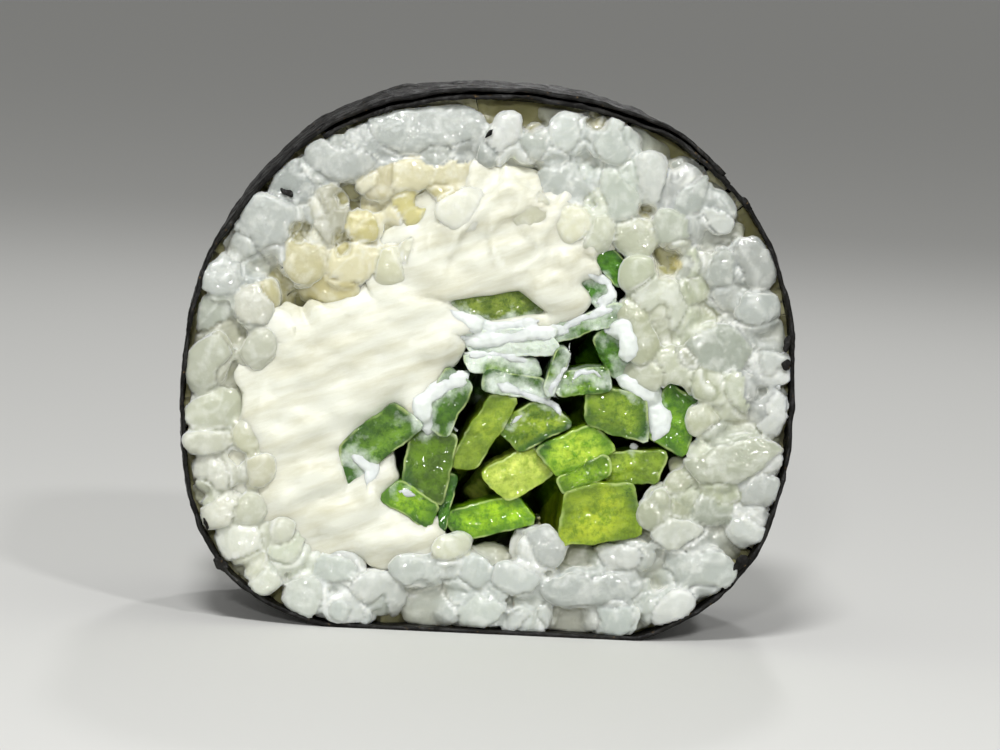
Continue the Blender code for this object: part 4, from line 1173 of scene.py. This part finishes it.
def strip_section(ends):
    """The outline of a strip with its corners rounded: RING points of x and z."""
    corner = np.vstack((ends, ends[:1]))
    length = np.concatenate(((0,), np.cumsum(np.linalg.norm(np.diff(corner, axis=0), axis=1))))
    where = np.linspace(0, length[-1], RING * 4, endpoint=False)
    line = np.column_stack([np.interp(where, length, corner[:, k]) for k in (0, 1)])
    spread = CORNER / (length[-1] / (RING * 4))
    reach = np.arange(-30, 31)
    kernel = np.exp(-0.5 * (reach / spread) ** 2)
    kernel /= kernel.sum()
    soft = sum(w * np.roll(line, k, axis=0) for k, w in zip(reach, kernel))
    return soft[::4]


def outline_normals(loop):
    """The outward direction at each point of a closed outline."""
    along = np.roll(loop, -1, axis=0) - np.roll(loop, 1, axis=0)
    along /= np.linalg.norm(along, axis=1)[:, None]
    return np.column_stack((along[:, 1], -along[:, 0]))


def plane_through(end):
    """Coefficients of y = a + b x + c z through the corners of a cut end."""
    rows = np.column_stack((np.ones(len(end)), end[:, 0], end[:, 2]))
    return np.linalg.lstsq(rows, end[:, 1], rcond=None)[0]


def strip_mesh(node, seed):
    """A strip drawn from ring to ring: its mesh, its points, and 1 on the rim down to -13 inside."""
    places = corners(node)
    caps, planes = [], []
    for side in (-1, 1):
        end = places[side * places[:, 1] > CUT_END]
        away = end - end.mean(axis=0)
        caps.append(end[np.argsort(np.arctan2(away[:, 2], away[:, 0]))][:, (0, 2)])
        planes.append(plane_through(end))
    shifts = []
    for y in BENDS:
        at_bend = places[np.abs(places[:, 1] - y) < 0.05][:, (0, 2)].mean(axis=0)
        shifts.append(at_bend - places[np.abs(places[:, 1] - BENDS[0]) < 0.05][:, (0, 2)].mean(axis=0))
    section = strip_section(caps[0])
    flat = np.column_stack((section, np.full(RING, seed)))
    uneven = 0.18 * wobble(flat, 1.6, seed) + 0.07 * wobble(flat, 0.4, seed)
    section = section + (GROWN + uneven)[:, None] * outline_normals(section)
    normals = outline_normals(section)
    centre = section.mean(axis=0)
    rim = section - normals * ROUNDING
    cap = []                       # rings over one end: outline, how far back, edge, flatness
    for share in np.linspace(0.93, 0.07, CAP_RINGS):
        cap.append((rim + (centre - rim) * share, 0.0, 1 - 14 * share, 1.0))
    for turn in np.radians(np.linspace(90, 0, EDGE_RINGS)):
        back = 1 - math.sin(turn)
        cap.append((section - normals * ROUNDING * (1 - math.cos(turn)), ROUNDING * back,
                    1 - back / 2, 1 - back / 4))
    ends = []
    for side, plane in ((-1, planes[0]), (1, planes[1])):
        ends.append([(np.column_stack((loop[:, 0], plane[0] + loop @ plane[1:] - side * back,
                                       loop[:, 1])), edge, flat)
                     for loop, back, edge, flat in cap])
    front_y, back_y = ends[0][-1][0][:, 1], ends[1][-1][0][:, 1]
    rings = ends[0]
    for t in np.linspace(0, 1, BODY_RINGS)[1:-1]:
        y = front_y + (back_y - front_y) * t
        bent = [np.interp(y, BENDS, [shift[k] for shift in shifts]) for k in (0, 1)]
        rings.append((np.column_stack((section[:, 0] + bent[0], y, section[:, 1] + bent[1])),
                      0.0, 0.0))
    rings += ends[1][::-1]
    cloud = np.array([ring for ring, _, _ in rings]).reshape(-1, 3)
    edge = np.repeat([share for _, share, _ in rings], RING)
    flat = np.repeat([share for _, _, share in rings], RING)
    relief = 0.14 * wobble(cloud, 0.9, seed) + 0.09 * wobble(cloud, 0.35, seed + 1)
    cloud[:, 1] += np.sign(cloud[:, 1]) * relief * flat
    around = np.tile(normals, (len(rings), 1)) * (1 - flat / 2)[:, None]
    cloud[:, (0, 2)] += 0.06 * around * wobble(cloud, 1.3, seed + 2)[:, None]
    last = (len(rings) - 1) * RING
    poles = [cloud[:RING].mean(axis=0), cloud[last:].mean(axis=0)]
    faces = []
    for k in range(RING):
        after = (k + 1) % RING
        faces += [(len(cloud), after, k), (len(cloud) + 1, last + k, last + after)]
        faces += [(ring + k, ring + after, ring + RING + after, ring + RING + k)
                  for ring in range(0, last, RING)]
    cloud = np.vstack((cloud, poles))
    mesh = bpy.data.meshes.new(node)
    mesh.from_pydata((cloud * MM).tolist(), [], faces)
    bm = bmesh.new()
    bm.from_mesh(mesh)
    bmesh.ops.recalc_face_normals(bm, faces=bm.faces)
    bm.to_mesh(mesh)
    bm.free()
    return mesh, cloud, np.append(edge, (-13.0, -13.0))


# %% [markdown]
# Each strip is drawn, coloured and put in its node's place. Light flesh shows inside and in patches,
# the skin side turns to dark green, and the cut edge has a thin, broken pale line.

# %% Cucumber strips
for number, (flesh_hex, deep_hex, film_share, skin_side) in enumerate(STRIP_LOOKS, 1):
    node = f"cucumber_strip_{number:02d}"
    mesh, cloud, edge = strip_mesh(node, number)
    hair = ease(edge, 0.45, 0.95) * ease(wobble(cloud, 1.1, number + 50), -0.25, 0.3)
    paint(mesh, "edge", 0.55 * hair)
    flesh_rgb, deep_rgb, skin_rgb = (np.array(linear(colour)[:3])
                                     for colour in (flesh_hex, deep_hex, SKIN_GREEN))
    tint = np.tile(flesh_rgb * PALE, (len(cloud), 1))
    dark = np.tile(deep_rgb * WET, (len(cloud), 1))
    if skin_side is not None:
        way = np.array((math.cos(math.radians(skin_side)), math.sin(math.radians(skin_side))))
        toward = cloud[:, (0, 2)] @ way
        toward -= toward[:RING].mean()
        share = ease(toward, 0.45 * toward[:RING * 17].max(), 0.8 * toward[:RING * 17].max())
        tint += (deep_rgb - tint) * share[:, None]
        dark += (skin_rgb - dark) * share[:, None]
    inside = ease((1 - edge) / 14, 0.0, 0.5)
    patchy = ease(wobble(cloud, 1.6, number + 80), -0.4, 0.4)
    light = (0.45 * inside + 0.55 * patchy)[:, None]
    tint = dark * 0.8 + (tint - dark * 0.8) * light
    dark *= 0.55 + 0.35 * light
    paint(mesh, "flesh", np.clip(tint, 0, 1))
    paint(mesh, "deep", dark)
    paint(mesh, "film", film_share + 0.3 * film_near(cloud))
    put(f"cucumber_{number:02d}", mesh, [node], cucumber)

# %% [markdown]
# ## Cream cheese: smears
# The thick part of each smear is a row of small flat balls along its line, thinner at both ends
# and laid on whatever surface lies there. A fine voxel remesh melts the balls into one body.

# %% Cheese smears
SMEAR_DEEPEST = 8.3                # a smear bridges gaps that go deeper than this
SMEAR_VOXEL = 0.09
SMEAR_BALL = (1.2, 0.42, 1.2, 1)   # a ball's stretch: wide in the cut face and flat against it
WIPED = 0.85                       # how cool and wiped the smears look, 0 to 1
UNDER = ("cream_cheese_block", "cucumber_", "rice_front")      # what the smears lie on
face_tree = ray_target(*[piece.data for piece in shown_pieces() if piece.name.startswith(UNDER)])


def surface_at(x, z):
    """How far the front surface lies from the middle of the slice there, in mm."""
    hit = face_tree.ray_cast(Vector((x * MM, -FAR * MM, z * MM)), Vector((0, 1, 0)))[0]
    return max(-hit.y / MM, SMEAR_DEEPEST) if hit else SMEAR_DEEPEST


def smear_balls(width, line, seed):
    """Centres and radii of the balls of one smear."""
    xz, where = along_line(line)
    kernel = np.hanning(9) / np.hanning(9).sum()
    if len(xz) > 12:
        padded = np.pad(xz, ((4, 4), (0, 0)), mode="edge")
        xz = np.column_stack([np.convolve(padded[:, k], kernel, "valid") for k in (0, 1)])
    xz += 0.12 * np.column_stack([wobble(np.insert(xz, 1, k, axis=1), 0.9, seed) for k in (0, 5)])
    depth = np.array([surface_at(*place) for place in xz])
    if len(xz) > 12:
        depth = np.convolve(np.pad(depth, 4, mode="edge"), kernel, "valid")
    ends = np.minimum(where, where[-1] - where)
    radius = width / 2 * (0.35 + 0.65 * ease(ends, 0.0, 0.9))
    radius *= 1 + 0.8 * wobble(np.insert(xz, 1, 9, axis=1), 1.1, seed + 1)
    return np.column_stack((xz[:, 0], -depth + 0.1 * radius, xz[:, 1])), radius


bm = bmesh.new()
for number, (width, line) in enumerate(SMEARS):
    for centre, radius in zip(*smear_balls(width, line, number)):
        ball = (Matrix.Translation(Vector(centre) * MM) @ Matrix.Diagonal(SMEAR_BALL))
        bmesh.ops.create_icosphere(bm, subdivisions=1, radius=radius * MM, matrix=ball)
smear_mesh = remeshed(mesh_of(bm, "smears"), SMEAR_VOXEL, 2)
places = points_of(smear_mesh)
move_points(smear_mesh, places + normals_of(smear_mesh) * (0.05 * wobble(places, 0.4, 2))[:, None])
paint(smear_mesh, "wiped", np.full(len(places), WIPED))
put("cream_cheese_smears", smear_mesh, ["cream_cheese"], cheese)

# %% [markdown]
# ## Light, floor and camera
# The slice stands on a plain pale floor, a plane so large that its far edge lies at the horizon.
# Everything about it stays plain, because it is there to catch the shadow and nothing else.

# %% Floor
FLOOR_SIZE = 60.0                  # metres
bpy.ops.mesh.primitive_plane_add(size=FLOOR_SIZE)
floor = bpy.context.object
floor.name = "floor"
ground, tree, shader = start_material("pale_floor", Roughness=0.7)
shader.inputs["Base Color"].default_value = linear("CFCFCC")
floor.data.materials.append(ground)
print("floor:", FLOOR_SIZE, "m wide")

# %% [markdown]
# A large soft light from above and in front gives the rice and the cheese their soft shading. Two
# small ones add the wet sparkles, a weak one behind draws the top of the nori, and the world fills
# the shadows.

# %% Lights
AIM = (0, 0, 0.02)
# For each disc light: its place and width in metres and its power in watts
LAMPS = (("key", (-0.07, -0.32, 0.42), 0.11, 1.7),
         ("sparkle_right", (0.16, -0.35, 0.3), 0.04, 0.6),
         ("sparkle_front", (-0.05, -0.42, 0.15), 0.03, 0.5),
         ("back_rim", (0.05, 0.28, 0.25), 0.03, 0.2))
for name, place, size, watts in LAMPS:
    lamp = bpy.data.lights.new(name, "AREA")
    lamp.shape, lamp.size, lamp.energy = "DISK", size, watts
    light = in_scene(name, lamp)
    light.location = place
    light.rotation_euler = (Vector(AIM) - Vector(place)).to_track_quat("-Z", "Y").to_euler()
print("lights:", len(LAMPS))
world = bpy.data.worlds.new("studio")
world.use_nodes = True
sky = world.node_tree.nodes["Background"]
sky.inputs["Color"].default_value = linear("F2F2F0")
sky.inputs["Strength"].default_value = 0.33
bpy.context.scene.world = world
bpy.context.scene.view_settings.view_transform = "Standard"

# %% [markdown]
# The camera looks from just above and slightly from the left, and is tilted a little. A long lens
# from 30 cm away keeps the far side of the slice almost as large as the near one.

# %% Camera
SENSOR, LENS = 36.0, 155.6         # mm
DISTANCE, ELEVATION, YAW, ROLL = 300.0, 5.5, 2.5, 3.0
target = Vector((0.69, -FACE, 18.3)) * MM
away = (Matrix.Rotation(math.radians(-YAW), 3, "Z") @ Matrix.Rotation(math.radians(-ELEVATION), 3, "X")
        @ Vector((0, -DISTANCE * MM, 0)))
lens = bpy.data.cameras.new("camera")
lens.sensor_width, lens.lens = SENSOR, LENS
camera = in_scene("camera", lens)
camera.location = target + away
camera.rotation_euler = ((-away).to_track_quat("-Z", "Y").to_matrix()
                         @ Matrix.Rotation(math.radians(ROLL), 3, "Z")).to_euler()
bpy.context.scene.camera = camera
print("camera:", DISTANCE, "mm away, lens", LENS, "mm")
